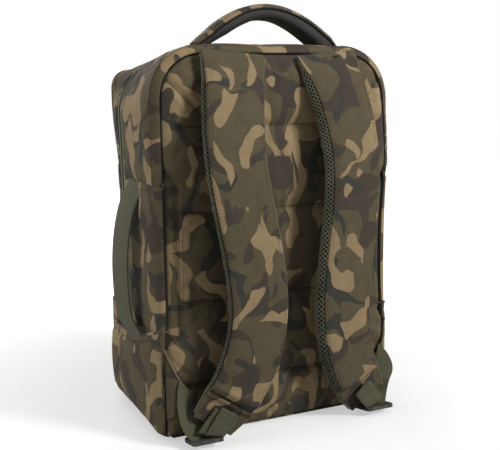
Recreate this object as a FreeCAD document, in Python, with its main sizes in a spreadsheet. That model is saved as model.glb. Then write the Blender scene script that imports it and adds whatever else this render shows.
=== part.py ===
"""Camouflage tackle backpack as an assembly of separate sewn, foam and moulded pieces.

Frame: +Z up, origin at the middle of the base, the padded back panel and its straps face +Y,
the zipped front section faces -Y. Right (+X) and left (-X) are the wearer's. Millimetres.
"""
import FreeCAD, Part
import math
import os
import re
import Sketcher

Vector = FreeCAD.Vector
DOC = FreeCAD.newDocument("tackle_backpack")

DIMENSIONS = {
    # bag body
    "half_width": 176, "bag_top": 510, "corner_radius": 50, "wall": 4, "gap": 0.3,
    "rear_edge": 125, "body_edge": -8, "zip_line": -20, "lid_edge": -32, "coil_half": 2.6,
    "coil_gap": 0.15,
    "lid_seam": -80, "lid_front": -105, "tub_seam": -95, "tub_front": -112, "front_round": 20,
    "tub_round": 14, "lid_low": 151, "tub_top": 150, "top_gusset_low": 334, "tape_wall": 2,
    "tape_inset": 0.5, "coil_proud": 1,
    # padded back
    "panel_half": 168, "panel_low": 4.3, "panel_top": 501, "panel_inner": 121, "panel_outer": 136,
    "panel_radius": 42, "panel_round": 6, "panel_wall": 2, "piping_front": 117, "piping_wall": 8,
    "sheet_half": 160, "sheet_low": 14, "sheet_top": 486, "sheet_wall": 2,
    "board_half": 164, "board_wall": 2.5,
    # side pockets
    "pocket_out": 188, "pocket_front": -86, "pocket_rear": 121, "pocket_low": 6,
    "pocket_top": 138, "pocket_wall": 2, "pocket_round": 8,
    # front pocket on the lid
    "organiser_half": 120, "organiser_low": 182, "organiser_top": 425, "organiser_front": -140,
    "organiser_corner": 28, "organiser_round": 14, "organiser_wall": 3,
    "mouth_half": 96, "mouth_low": 384, "mouth_top": 398, "mouth_tape": 1.6,
    # shoulder straps
    "strap_width": 80, "strap_top_width": 86, "strap_end_width": 66,
    "strap_foam_depth": 8, "strap_skin": 2, "layer_gap": 0.2,
    "webbing_width": 30, "webbing_depth": 1.6,
    # wings in the side seams
    "wing_root": 169, "wing_tip": 131, "wing_low": 30, "wing_high": 125, "wing_tip_height": 62,
    "wing_depth": 2,
    # ladder locks
    "lock_width": 43, "lock_length": 36, "lock_depth": 5, "lock_slot_width": 32,
    "lock_slot": 5, "lock_slot_pitch": 10.5,
    # top handle
    "handle_centre": 82, "handle_axis": 516, "handle_half": 101, "handle_rise": 52,
    "handle_width": 36, "handle_foot_width": 9, "handle_grip_depth": 16, "handle_cover_depth": 4,
    "handle_roll": 4.4, "handle_foot_length": 22, "handle_patch_depth": 1,
    # webbing handle on the right side
    "carry_centre": 45, "carry_width": 46, "carry_depth": 2.4, "carry_low": 150, "carry_high": 304,
    # zip sliders and pull tabs
    "slider_start": 14, "slider_length": 13, "slider_width": 11, "slider_plate": 2.4,
    "slider_lift": 2, "pull_length": 30, "pull_width": 8, "pull_depth": 1.8, "bail": 1.6,
    "ear_height": 3, "pin_setback": 1, "pull_gap": 0.6,
    "pocket_slider_start": 84,
}


def make_sheet():
    sheet = DOC.addObject("Spreadsheet::Sheet", "dims")
    for row, (alias, value) in enumerate(DIMENSIONS.items(), start=1):
        sheet.set(f"A{row}", alias)
        sheet.set(f"B{row}", str(value))
        sheet.setAlias(f"B{row}", alias)
    DOC.recompute()
    return sheet


SHEET = make_sheet()
PARTS = []


def size(alias):
    return float(SHEET.get(alias))


def formula(text):
    """Every word in a formula is an alias of the spreadsheet."""
    return re.sub(r"\b([a-z][a-z_]+)\b", r"dims.\1", str(text))


def register(feature, name):
    feature.Label = name
    PARTS.append(feature)
    return feature


# ---------------------------------------------------------------- features

def new_body(name):
    return register(DOC.addObject("PartDesign::Body", name), name)


def plane_of(body, role):
    return next(item for item in body.Origin.OriginFeatures if item.Role == role)


def sketch_on(body, name, role="XZ_Plane", offset="0"):
    """A sketch on an origin plane; the XZ plane's normal is -Y, so its offset is -y."""
    sketch = body.newObject("Sketcher::SketchObject", name)
    sketch.AttachmentSupport = (plane_of(body, role), [""])
    sketch.MapMode = "FlatFace"
    sketch.setExpression("AttachmentOffset.Base.z", formula(offset))
    return sketch


def polygon(sketch, corners, prefix="corner"):
    """Closed outline through (x, y) formulas, each corner bound to the sheet."""
    count = len(corners)
    first = sketch.GeometryCount
    turn = 2 * math.pi / count
    rough = [Vector(10 + 20 * math.cos(turn * i), 20 * math.sin(turn * i), 0) for i in range(count)]
    for i in range(count):
        sketch.addGeometry(Part.LineSegment(rough[i], rough[(i + 1) % count]), False)
    for i in range(count):
        sketch.addConstraint(Sketcher.Constraint("Coincident", first + i, 2, first + (i + 1) % count, 1))
    for i, corner in enumerate(corners):
        for kind, axis, text in (("DistanceX", "x", corner[0]), ("DistanceY", "y", corner[1])):
            value = getattr(rough[i], axis)
            index = sketch.addConstraint(Sketcher.Constraint(kind, -1, 1, first + i, 1, value))
            label = f"{prefix}_{axis}_{i}"
            sketch.renameConstraint(index, label)
            sketch.setExpression(f"Constraints.{label}", formula(text))


def rectangle(sketch, left, right, low, high, prefix="side"):
    polygon(sketch, [(left, low), (right, low), (right, high), (left, high)], prefix)


def extrude(body, sketch, kind, name, length, reverse=False):
    feature = body.newObject(f"PartDesign::{kind}", name)
    feature.Profile = sketch
    feature.setExpression("Length", formula(length))
    feature.Reversed = reverse
    sketch.Visibility = False
    DOC.recompute()
    return feature


def edges_where(shape, test):
    return [f"Edge{i}" for i, edge in enumerate(shape.Edges, start=1) if test(edge)]


def faces_facing(shape, directions):
    """Flat faces whose outward normal is one of the directions and that lie on the shape's box."""
    box = shape.BoundBox
    limits = {"x": (box.XMin, box.XMax), "y": (box.YMin, box.YMax), "z": (box.ZMin, box.ZMax)}
    found = []
    for sign, axis in directions:
        limit = limits[axis][1 if sign > 0 else 0]
        for i, face in enumerate(shape.Faces, start=1):
            middle = getattr(face.CenterOfMass, axis)
            if face.Surface.TypeId == "Part::GeomPlane" and abs(middle - limit) < 0.01:
                found.append(f"Face{i}")
    return found


def fillet(body, base, name, edges, radius):
    feature = body.newObject("PartDesign::Fillet", name)
    feature.Base = (base, edges)
    feature.setExpression("Radius", formula(radius))
    DOC.recompute()
    return feature


def hollow(body, base, name, open_sides, wall):
    """Shell the solid inwards, open on the named sides."""
    feature = body.newObject("PartDesign::Thickness", name)
    feature.Base = (base, faces_facing(base.Shape, open_sides))
    feature.setExpression("Value", formula(wall))
    feature.Reversed = True
    feature.Join = 0
    DOC.recompute()
    return feature


def runs_along_y(edge):
    ends = [vertex.Point for vertex in edge.Vertexes]
    return len(ends) == 2 and abs(abs(ends[0].y - ends[1].y) - edge.Length) < 0.01


def rounded_block(name, half, low, high, front, rear, radius, all_corners=False):
    """Block from front to rear in Y, its upper (or all four) corners rounded."""
    body = new_body(name)
    sketch = sketch_on(body, name + "_outline", offset=f"-({rear})")
    rectangle(sketch, f"-({half})", half, low, high)
    block = extrude(body, sketch, "Pad", name + "_block", f"({rear}) - ({front})")
    middle = block.Shape.BoundBox.Center.z

    def is_corner(edge):
        return runs_along_y(edge) and (all_corners or edge.CenterOfMass.z > middle)

    return body, fillet(body, block, name + "_corners", edges_where(block.Shape, is_corner), radius)


def band(name, half, low, high, front, rear, radius, wall, closed=False):
    """A strip that runs up one side, over the rounded top and down the other side."""
    body, block = rounded_block(name, half, low, high, front, rear, radius)
    open_sides = [(-1, "y"), (1, "y")] + ([] if closed else [(-1, "z")])
    hollow(body, block, name + "_strip", open_sides, wall)
    return body


def dish(name, half, low, high, front, rear, radius, edge_round, wall, face, open_sides, all_corners=False):
    """A shallow shell whose outer face (front or rear) has rounded edges."""
    body, block = rounded_block(name, half, low, high, front, rear, radius, all_corners)
    box = block.Shape.BoundBox
    limit = box.YMin if face == "front" else box.YMax
    free_low = (-1, "z") not in open_sides

    def on_face(edge):
        level = box.ZMin + 0.5
        if abs(edge.CenterOfMass.y - limit) > 0.01 or edge.BoundBox.YLength > 0.01:
            return False
        return free_low or edge.BoundBox.ZMax > level

    rounded = fillet(body, block, name + "_round", edges_where(block.Shape, on_face), edge_round)
    hollow(body, rounded, name + "_shell", open_sides, wall)
    return body


def box_part(name, low, high):
    """A plain rectangular piece between two corners given as formulas."""
    block = register(DOC.addObject("Part::Box", name), name)
    for axis, side, start, end in zip("xyz", ("Length", "Width", "Height"), low, high):
        block.setExpression(side, formula(f"({end}) - ({start})"))
        block.setExpression(f"Placement.Base.{axis}", formula(start))
    return block


# ---------------------------------------------------------------- ribbons

def mirrored(points, side):
    return [Vector(side * point.x, point.y, point.z) for point in points]


def smooth_path(points, count, start=0.0, end=1.0):
    """Points evenly spaced in parameter along a stretch of the curve through the given points."""
    curve = Part.BSplineCurve()
    curve.interpolate(points)
    first = curve.FirstParameter
    span = curve.LastParameter - first
    shares = [start + (end - start) * i / (count - 1) for i in range(count)]
    return [curve.value(first + span * share) for share in shares]


def frames_along(path, facing):
    """At each point: the outward normal nearest to facing, and the width direction across the path."""
    frames = []
    for i, point in enumerate(path):
        along = path[min(i + 1, len(path) - 1)] - path[max(i - 1, 0)]
        along.normalize()
        normal = facing - along * facing.dot(along)
        normal.normalize()
        frames.append((point, normal, along.cross(normal)))
    return frames


def loft_section(frames, outline):
    """Ruled solid whose cross-section, in (width, normal) coordinates, is outline(i)."""
    wires = []
    for i, (point, normal, across) in enumerate(frames):
        corners = [point + across * u + normal * v for u, v in outline(i)]
        wires.append(Part.makePolygon(corners + corners[:1]))
    return Part.makeLoft(wires, True, True)


def band_outline(width, start, end):
    return [(-width / 2, start), (width / 2, start), (width / 2, end), (-width / 2, end)]


def solid_part(name, shape):
    feature = register(DOC.addObject("Part::Feature", name), name)
    if shape.Volume < 0:
        shape = shape.reversed()
    feature.Shape = shape
    feature.Placement = FreeCAD.Placement()
    return feature


# ---------------------------------------------------------------- bag body

def make_back():
    """Padded back: quilted cover, foam block and frame sheet, with the piping of the rear seam."""
    dish("back_panel", "panel_half", "panel_low", "panel_top", "panel_inner", "panel_outer",
         "panel_radius", "panel_round", "panel_wall", "rear", [(-1, "y")])
    inset = "(panel_wall + gap)"
    rounded_block("back_foam", f"panel_half - {inset}", f"panel_low + {inset}", f"panel_top - {inset}",
                  "panel_inner", f"panel_outer - {inset} - panel_round / 2", f"panel_radius - {inset}")
    rounded_block("frame_sheet", "sheet_half", "sheet_low", "sheet_top",
                  "panel_inner - sheet_wall - gap", "panel_inner - gap", "panel_radius - piping_wall")
    band("rear_piping", "half_width - wall", "wall", "bag_top - wall", "piping_front", "panel_inner",
         "corner_radius - wall", "piping_wall", closed=True)


def make_side_panels():
    for name, side in (("side_panel_right", 1), ("side_panel_left", -1)):
        body = new_body(name)
        outer = "half_width" if side > 0 else "-half_width + wall"
        sketch = sketch_on(body, name + "_outline", "YZ_Plane", outer)
        polygon(sketch, [("tub_seam", "0"), ("rear_edge", "0"), ("rear_edge", "top_gusset_low"),
                         ("body_edge", "top_gusset_low"), ("body_edge", "tub_top"), ("tub_seam", "tub_top")])
        extrude(body, sketch, "Pad", name + "_panel", "wall", reverse=True)


def make_shell():
    """Gussets, base and the fixed lower front of the bag."""
    band("top_gusset", "half_width", "top_gusset_low", "bag_top", "body_edge", "rear_edge",
         "corner_radius", "wall")
    make_side_panels()
    inner = "half_width - wall"
    box_part("base_panel", (f"-({inner})", "tub_seam", "0"), (inner, "rear_edge", "wall"))
    box_part("base_board", ("-board_half", "tub_seam", "wall"),
             ("board_half", "piping_front - 1", "wall + board_wall"))
    body = new_body("lower_front_panel")
    sketch = sketch_on(body, "lower_front_outline", offset="-tub_seam")
    rectangle(sketch, "-half_width", "half_width", "0", "tub_top")
    block = extrude(body, sketch, "Pad", "lower_front_block", "tub_seam - tub_front")
    front = block.Shape.BoundBox.YMin
    low = block.Shape.BoundBox.ZMin

    def is_outer(edge):
        upright = edge.BoundBox.ZLength > 1
        return abs(edge.CenterOfMass.y - front) < 0.01 and (upright or abs(edge.CenterOfMass.z - low) < 0.01)

    rounded = fillet(body, block, "lower_front_round", edges_where(block.Shape, is_outer), "tub_round")
    hollow(body, rounded, "lower_front_shell", [(1, "y"), (1, "z")], "wall")


def make_side_pockets():
    """Open-topped pockets on the lower half of both sides."""
    for name, side in (("side_pocket_right", 1), ("side_pocket_left", -1)):
        body = new_body(name)
        root = "half_width + gap" if side > 0 else "-half_width - gap"
        sketch = sketch_on(body, name + "_outline", "YZ_Plane", root)
        rectangle(sketch, "pocket_front", "pocket_rear", "pocket_low", "pocket_top")
        bulge = "pocket_out - half_width - gap"
        block = extrude(body, sketch, "Pad", name + "_block", bulge, reverse=side < 0)
        outer = block.Shape.BoundBox.XMax if side > 0 else block.Shape.BoundBox.XMin
        top = block.Shape.BoundBox.ZMax

        def is_outer(edge):
            on_face = abs(edge.CenterOfMass.x - outer) < 0.01
            return on_face and edge.BoundBox.ZMin < top - 0.5

        rounded = fillet(body, block, name + "_round", edges_where(block.Shape, is_outer), "pocket_round")
        hollow(body, rounded, name + "_shell", [(-side, "x"), (1, "z")], "pocket_wall")


def make_zip():
    """Two tapes with a raised half coil each, which meet along the zip line."""
    spans = {
        "body": ("tub_top + 1", "zip_line + coil_gap", "zip_line + coil_gap + coil_half", "body_edge"),
        "lid": ("lid_low", "lid_edge", "zip_line - coil_gap - coil_half", "zip_line - coil_gap"),
    }
    for half, (low, front, middle, rear) in spans.items():
        coil_span, tape_span = ((front, middle), (middle, rear)) if half == "body" else \
            ((middle, rear), (front, middle))
        band("zip_tape_" + half, "half_width - tape_inset", low, "bag_top - tape_inset", *tape_span,
             "corner_radius - tape_inset", "tape_wall")
        band("zip_coil_" + half, "half_width + coil_proud", low, "bag_top + coil_proud", *coil_span,
             "corner_radius + coil_proud", "tape_wall + tape_inset + coil_proud")


def make_wings():
    """Triangles sewn into the side seams, which carry the adjuster webbing."""
    for name, side in (("strap_wing_right", ""), ("strap_wing_left", "-")):
        body = new_body(name)
        sketch = sketch_on(body, name + "_outline", offset="-(panel_outer + gap)")
        polygon(sketch, [(f"{side}wing_root", "wing_low"), (f"{side}wing_root", "wing_high"),
                         (f"{side}wing_tip", "wing_tip_height")])
        extrude(body, sketch, "Pad", name + "_cloth", "wing_depth", reverse=True)


# ---------------------------------------------------------------- lid

def make_lid():
    """Front section that folds down: gusset, front panel and the pocket on it."""
    band("lid_gusset", "half_width", "lid_low", "bag_top", "lid_seam", "lid_edge", "corner_radius", "wall")
    dish("lid_front_panel", "half_width", "lid_low", "bag_top", "lid_front", "lid_seam",
         "corner_radius", "front_round", "wall", "front", [(1, "y"), (-1, "z")])
    body, block = rounded_block("front_pocket", "organiser_half", "organiser_low", "organiser_top",
                                "organiser_front", "lid_front - gap", "organiser_corner", True)
    front = block.Shape.BoundBox.YMin

    def on_front(edge):
        return abs(edge.CenterOfMass.y - front) < 0.01 and edge.BoundBox.YLength < 0.01

    rounded = fillet(body, block, "front_pocket_round", edges_where(block.Shape, on_front), "organiser_round")
    shell = hollow(body, rounded, "front_pocket_shell", [(1, "y")], "organiser_wall")
    full = shell.Shape.Volume
    mouth = sketch_on(body, "front_pocket_mouth", offset="-organiser_front - 5")
    rectangle(mouth, "-mouth_half", "mouth_half", "mouth_low", "mouth_top")
    cut = extrude(body, mouth, "Pocket", "front_pocket_slot", "20", reverse=True)
    if cut.Shape.Volume > full - 1:
        raise RuntimeError("the pocket's mouth cuts nothing")
    box_part("pocket_zip_tape", ("-mouth_half", "organiser_front + 0.4", "mouth_low"),
             ("mouth_half", "organiser_front + 0.4 + mouth_tape", "mouth_top"))


# ---------------------------------------------------------------- sliders

def slider_ears(name, spans):
    """Two short ears that hold the pull tab's pin, each between its own pair of corners."""
    return [box_part(f"{name}_ear_{i}", low, high) for i, (low, high) in enumerate(spans)]


def make_sliders():
    """Main zip sliders near the middle of the top run, with pull tabs lying outwards."""
    coil_top = "bag_top + coil_proud"
    plate_low = f"{coil_top} + slider_lift"
    plate_top = f"{plate_low} + slider_plate"
    half = "slider_width / 2"
    inner = "pull_width / 2"
    for side, word in ((1, "right"), (-1, "left")):
        near = "slider_start" if side > 0 else "-slider_start - slider_length"
        far = f"({near}) + slider_length"
        plate = box_part("slider_plate_" + word, (near, f"zip_line - {half}", plate_low),
                         (far, f"zip_line + {half}", plate_top))
        keel = box_part("slider_keel_" + word, (f"({near}) + 2", "zip_line + 1", f"{coil_top} + gap"),
                        (f"({far}) - 2", f"zip_line + {half}", plate_low))
        pin = f"{side} * (slider_start + slider_length / 2)"
        ear_top = f"{plate_top} + ear_height"
        ears = slider_ears("slider_" + word, [
            ((f"{pin} - bail / 2", start, plate_top), (f"{pin} + bail / 2", end, ear_top))
            for start, end in ((f"zip_line - {inner} - bail", f"zip_line - {inner}"),
                               (f"zip_line + {inner}", f"zip_line + {inner} + bail"))])
        join("zip_slider_" + word, [plate, keel] + ears)
        tab_near = "slider_start + slider_length / 2 - pin_setback"
        tab_far = f"{tab_near} + pull_length"
        span = (tab_near, tab_far) if side > 0 else (f"-({tab_far})", f"-({tab_near})")
        tab_low = f"{plate_top} + pull_gap"
        box_part("zip_pull_" + word, (span[0], f"zip_line - {inner} + gap", tab_low),
                 (span[1], f"zip_line + {inner} - gap", f"{tab_low} + pull_depth"))


def make_pocket_slider():
    """Front pocket slider at the right end of its zip, with a tab that hangs."""
    centre = "(mouth_low + mouth_top) / 2"
    start = "pocket_slider_start"
    half = "slider_width / 2"
    inner = "pull_width / 2"
    plate_back = "organiser_front - gap"
    plate_front = f"{plate_back} - slider_plate"
    plate = box_part("pocket_slider_plate",
                     (f"{start} - slider_length / 2", plate_front, f"{centre} - {half}"),
                     (f"{start} + slider_length / 2", plate_back, f"{centre} + {half}"))
    ear_front = f"{plate_front} - ear_height"
    ears = slider_ears("pocket_slider", [
        ((low, ear_front, f"{centre} - bail / 2"), (high, plate_front, f"{centre} + bail / 2"))
        for low, high in ((f"{start} - {inner} - bail", f"{start} - {inner}"),
                          (f"{start} + {inner}", f"{start} + {inner} + bail"))])
    join("pocket_slider", [plate] + ears)
    tab_back = f"{plate_front} - pull_gap"
    tab_top = f"{centre} + pin_setback"
    box_part("pocket_pull",
             (f"{start} - {inner} + gap", f"{tab_back} - pull_depth", f"{tab_top} - pull_length"),
             (f"{start} + {inner} - gap", tab_back, tab_top))


def join(name, pieces):
    """One fused piece; the pieces it is made of are not parts of their own."""
    fused = DOC.addObject("Part::MultiFuse", name)
    fused.Shapes = pieces
    for piece in pieces:
        PARTS.remove(piece)
    return register(fused, name)


# ---------------------------------------------------------------- straps

# Inner face of the right strap's centre line, from the top seam down; X leans in, then out.
STRAP_ROUTE = [Vector(69, 137, 497), Vector(71, 141, 478), Vector(77, 151, 445), Vector(83, 163, 398),
               Vector(83, 172, 345), Vector(75, 176, 285), Vector(66, 177, 225), Vector(62, 176, 170),
               Vector(69, 173, 118), Vector(85, 167, 76), Vector(103, 161, 47), Vector(118, 155, 31)]
ADJUSTER_ROUTE = {
    "right": [Vector(148, 138.8, 80), Vector(150, 143, 62), Vector(149, 149, 46), Vector(144, 152, 34),
              Vector(139, 152, 20)],
    "left": [Vector(148, 138.8, 80), Vector(162, 149, 66), Vector(164, 157, 50), Vector(151, 155, 36),
             Vector(141, 152, 24)],
}
TOWARDS_WEARER = Vector(0, 1, 0)
STRAP_STATIONS = 15
PATCH_SPAN = (0.93, 0.995)


def strap_width_at(i):
    """Widest at the top seam, then even, then narrower over the last stations."""
    share = i / (STRAP_STATIONS - 1)
    taper = max(0, (share - 0.8) / 0.2)
    return size("strap_top_width") + (size("strap_width") - size("strap_top_width")) * min(1, share * 4) \
        - taper * (size("strap_width") - size("strap_end_width"))


def strap_depth():
    return 2 * size("strap_skin") + size("strap_foam_depth") + 2 * size("layer_gap")


def strap_channel(width):
    """Mesh lining that wraps the foam's inner face and both edges."""
    half = width / 2
    skin = size("strap_skin")
    rim = strap_depth() - skin - size("layer_gap")
    return [(-half, 0), (half, 0), (half, rim), (half - skin, rim), (half - skin, skin),
            (-half + skin, skin), (-half + skin, rim), (-half, rim)]


def make_straps():
    skin = size("strap_skin")
    gap = size("layer_gap")
    depth = strap_depth()
    foam = (skin + gap, skin + size("strap_foam_depth"))
    inset = 2 * (skin + gap)
    for word, side in (("right", 1), ("left", -1)):
        frames = frames_along(smooth_path(mirrored(STRAP_ROUTE, side), STRAP_STATIONS), TOWARDS_WEARER)
        layers = {"strap_mesh_": lambda i: strap_channel(strap_width_at(i)),
                  "strap_foam_": lambda i: band_outline(strap_width_at(i) - inset, *foam),
                  "strap_face_": lambda i: band_outline(strap_width_at(i), depth - skin, depth)}
        for name, outline in layers.items():
            solid_part(name + word, loft_section(frames, outline))


def make_webbing():
    """Patch sewn on each strap end and the adjuster webbing between wing and ladder lock."""
    width = size("webbing_width")
    outer = strap_depth() + size("gap")
    for word, side in (("right", 1), ("left", -1)):
        patch = smooth_path(mirrored(STRAP_ROUTE, side), 4, *PATCH_SPAN)
        adjuster = smooth_path(mirrored(ADJUSTER_ROUTE[word], side), 9)
        pieces = {"strap_patch_": (patch, outer), "adjuster_": (adjuster, 0)}
        for name, (path, start) in pieces.items():
            outline = band_outline(width, start, start + size("webbing_depth"))
            solid_part(name + word, loft_section(frames_along(path, TOWARDS_WEARER), lambda i: outline))


LOCK_CENTRE = Vector(131, 160, 8)
LOCK_TILT = 9


def make_ladder_locks():
    """Moulded ladder locks: two rails and four cross bars."""
    for word, side in (("right", 1), ("left", -1)):
        body = new_body("ladder_lock_" + word)
        outline = sketch_on(body, f"lock_outline_{word}", "XY_Plane", "-lock_depth / 2")
        rectangle(outline, "-lock_width / 2", "lock_width / 2", "-lock_length / 2", "lock_length / 2")
        block = extrude(body, outline, "Pad", f"lock_block_{word}", "lock_depth")
        slots = sketch_on(body, f"lock_slots_{word}", "XY_Plane", "-lock_depth / 2")
        for i, step in enumerate((-1, 0, 1)):
            middle = f"{step} * lock_slot_pitch"
            rectangle(slots, "-lock_slot_width / 2", "lock_slot_width / 2", f"{middle} - lock_slot / 2",
                      f"{middle} + lock_slot / 2", f"slot_{'abc'[i]}")
        cut = extrude(body, slots, "Pocket", f"lock_cut_{word}", "lock_depth", reverse=True)
        if cut.Shape.Volume > 0.8 * block.Shape.Volume:
            raise RuntimeError("the ladder lock's slots cut too little")
        side_x = size("lock_width") / 2

        def is_corner(edge):
            return edge.BoundBox.ZLength > 1 and abs(abs(edge.CenterOfMass.x) - side_x) < 0.01

        fillet(body, cut, f"lock_round_{word}", edges_where(cut.Shape, is_corner), "lock_slot")
        turn = FreeCAD.Rotation(Vector(1, 0, 0), LOCK_TILT)
        body.Placement = FreeCAD.Placement(Vector(side * LOCK_CENTRE.x, LOCK_CENTRE.y, LOCK_CENTRE.z), turn)


# ---------------------------------------------------------------- handles

ARCH_FLATNESS = 0.9
INNER_SHARE = 0.86
ARCH_STATIONS = 17


def handle_arch():
    """Centre line of the top handle's underside, foot to foot, as a flattened arch."""
    half = size("handle_half")
    rise = size("handle_rise") - size("handle_grip_depth") - size("handle_cover_depth")
    axis = size("handle_axis")
    points = []
    for i in range(ARCH_STATIONS):
        angle = math.pi * i / (ARCH_STATIONS - 1)
        height = axis + rise * math.sin(angle) ** ARCH_FLATNESS
        points.append(Vector(-half * INNER_SHARE * math.cos(angle), size("handle_centre"), height))
    return points


def make_top_handle():
    """Padded arch, thin at its feet so that it can lean either way, on rolls at its hinge line."""
    path = handle_arch()
    centre = Vector(0, size("handle_centre"), size("handle_axis") - 120)
    grip = size("handle_grip_depth")
    cover = size("handle_cover_depth")
    gap = size("layer_gap")
    axis = size("handle_axis")
    full = size("handle_width")
    foot = size("handle_foot_width")

    def width_at(i):
        rise = path[i].z - axis
        return min(full, foot + 0.9 * max(rise, 0))

    frames = []
    for i, point in enumerate(path):
        normal = point - centre
        normal.normalize()
        frames.append((point, normal, Vector(0, 1, 0)))
    grip_shape = loft_section(frames, lambda i: band_outline(width_at(i), 0, grip - gap))
    cover_shape = loft_section(frames, lambda i: band_outline(width_at(i), grip, grip + cover))
    keep = Part.makeBox(400, 200, 200, Vector(-200, size("handle_centre") - 100, axis))
    length = size("handle_foot_length")
    rolls = []
    for side in (-1, 1):
        base = Vector(side * (size("handle_half") - 5) - length / 2, size("handle_centre"), axis)
        rolls.append(Part.makeCylinder(size("handle_roll"), length, base, Vector(1, 0, 0)))
    grip_shape = grip_shape.common(keep).multiFuse(rolls)
    cover_shape = cover_shape.common(keep).cut(rolls[0]).cut(rolls[1])
    solid_part("top_handle_grip", grip_shape)
    solid_part("top_handle_cover", cover_shape)
    for word, sign in (("right", ""), ("left", "-")):
        low = f"{sign}(handle_half - 5) - handle_foot_length / 2 - 2"
        box_part("handle_patch_" + word, (low, "handle_centre - 13", "bag_top"),
                 (f"{low} + handle_foot_length + 4", "handle_centre + 13", "bag_top + handle_patch_depth"))


# Outline of the side handle's webbing in X and Z, from its upper seam to its lower seam.
CARRY_ROUTE = [Vector(177, 0, 334), Vector(181, 0, 322), Vector(187, 0, 304), Vector(194, 0, 275),
               Vector(197.5, 0, 240), Vector(197.5, 0, 212), Vector(194, 0, 180), Vector(187, 0, 150),
               Vector(181, 0, 139), Vector(177, 0, 131)]


def make_side_handle():
    """Webbing handle on the right side: the free bow, and the sewn ends it hangs from."""
    centre = size("carry_centre")
    route = [Vector(point.x, centre, point.z) for point in CARRY_ROUTE]
    frames = frames_along(route, Vector(1, 0, 0))
    whole = loft_section(frames, lambda i: band_outline(size("carry_width"), 0, size("carry_depth")))
    low = size("carry_low")
    high = size("carry_high")
    gap = size("gap")
    spans = {"side_handle_webbing": (low, high), "side_handle_end_upper": (high + gap, high + 100),
             "side_handle_end_lower": (low - 100, low - gap)}
    beside = size("half_width") + gap
    for name, (start, end) in spans.items():
        slab = Part.makeBox(100, 200, end - start, Vector(beside, centre - 100, start))
        solid_part(name, whole.common(slab))


# ---------------------------------------------------------------- build

def check_and_export():
    DOC.recompute()
    for item in DOC.Objects:
        if "Invalid" in item.State or "Error" in item.State:
            raise RuntimeError(f"{item.Label} failed: {item.State}")
    for part in PARTS:
        if part.Shape.isNull() or not part.Shape.isValid():
            raise RuntimeError(f"{part.Label} has a bad shape")
    os.makedirs("parts", exist_ok=True)
    for part in PARTS:
        part.Shape.exportStep(f"parts/{part.Label}.step")
        box = part.Shape.BoundBox
        print(f"{part.Label:24s} {part.Shape.Volume / 1000:9.2f} cm3  "
              f"X {box.XMin:7.1f} {box.XMax:7.1f}  Y {box.YMin:7.1f} {box.YMax:7.1f}  "
              f"Z {box.ZMin:7.1f} {box.ZMax:7.1f}")
    print(len(PARTS), "parts")


make_back()
make_shell()
make_side_pockets()
make_zip()
make_wings()
make_lid()
make_sliders()
make_pocket_slider()
make_straps()
make_webbing()
make_ladder_locks()
make_top_handle()
make_side_handle()
check_and_export()
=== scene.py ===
"""Looks of the camouflage tackle backpack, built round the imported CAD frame.

Lengths in this file are millimetres until a mesh is made. +Z is up, +Y is the padded back
with its straps, -Y the zipped front, +X the side with the webbing handle.
"""
import math

import bmesh
import bpy
import numpy as np
from mathutils import Matrix, Vector, noise


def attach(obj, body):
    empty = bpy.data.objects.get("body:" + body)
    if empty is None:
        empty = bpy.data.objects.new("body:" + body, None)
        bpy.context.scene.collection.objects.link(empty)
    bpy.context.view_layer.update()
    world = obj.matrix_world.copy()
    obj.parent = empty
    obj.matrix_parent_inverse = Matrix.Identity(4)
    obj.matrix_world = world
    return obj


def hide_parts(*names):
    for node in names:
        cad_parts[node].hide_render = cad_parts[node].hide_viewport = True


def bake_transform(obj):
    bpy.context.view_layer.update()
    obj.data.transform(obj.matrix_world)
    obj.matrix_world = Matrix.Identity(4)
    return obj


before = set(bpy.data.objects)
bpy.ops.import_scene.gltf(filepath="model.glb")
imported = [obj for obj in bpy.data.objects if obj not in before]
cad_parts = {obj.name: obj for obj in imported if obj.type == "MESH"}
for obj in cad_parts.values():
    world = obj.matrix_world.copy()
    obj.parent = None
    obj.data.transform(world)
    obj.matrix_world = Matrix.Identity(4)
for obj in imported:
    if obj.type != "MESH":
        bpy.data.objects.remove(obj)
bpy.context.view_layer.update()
MM = 0.001
SIDES = (("right", 1), ("left", -1))


# ------------------------------------------------------------------ numbers and curves

def step01(low, high, x):
    """Rises smoothly from 0 at low to 1 at high."""
    t = np.clip((np.asarray(x, float) - low) / (high - low), 0, 1)
    return t * t * (3 - 2 * t)


def hump(x, centre, width):
    return np.exp(-((np.asarray(x, float) - centre) / width) ** 2)


def unit(v):
    return v / np.maximum(np.linalg.norm(v, axis=-1, keepdims=True), 1e-12)


def along(points):
    """Lengths from a line's first point to each of its points."""
    steps = np.linalg.norm(np.diff(points, axis=0), axis=1)
    return np.concatenate([[0], np.cumsum(steps)])


def spline(points, pitch=4.0):
    """A smooth curve through the points, evenly sampled."""
    p = np.array(points, float)
    t = np.concatenate([[0], np.cumsum(np.sqrt(np.linalg.norm(np.diff(p, axis=0), axis=1)))])
    slope = np.diff(p, axis=0) / np.diff(t)[:, None]
    m = np.empty_like(p)
    m[0], m[-1] = slope[0], slope[-1]
    a, b = np.diff(t)[:-1, None], np.diff(t)[1:, None]
    m[1:-1] = (slope[:-1] * b + slope[1:] * a) / (a + b)
    out = []
    for i in range(len(p) - 1):
        h = t[i + 1] - t[i]
        s = np.linspace(0, 1, 40, endpoint=i == len(p) - 2)[:, None]
        out.append((2 * s**3 - 3 * s**2 + 1) * p[i] + (s**3 - 2 * s**2 + s) * h * m[i]
                   + (3 * s**2 - 2 * s**3) * p[i + 1] + (s**3 - s**2) * h * m[i + 1])
    dense = np.vstack(out)
    return resample(dense, max(2, int(round(along(dense)[-1] / pitch)) + 1))


def read_at(values, s, at):
    """Rows of values that belong to the lengths s, read at other lengths."""
    return np.stack([np.interp(at, s, values[:, k]) for k in range(values.shape[1])], 1)


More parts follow.
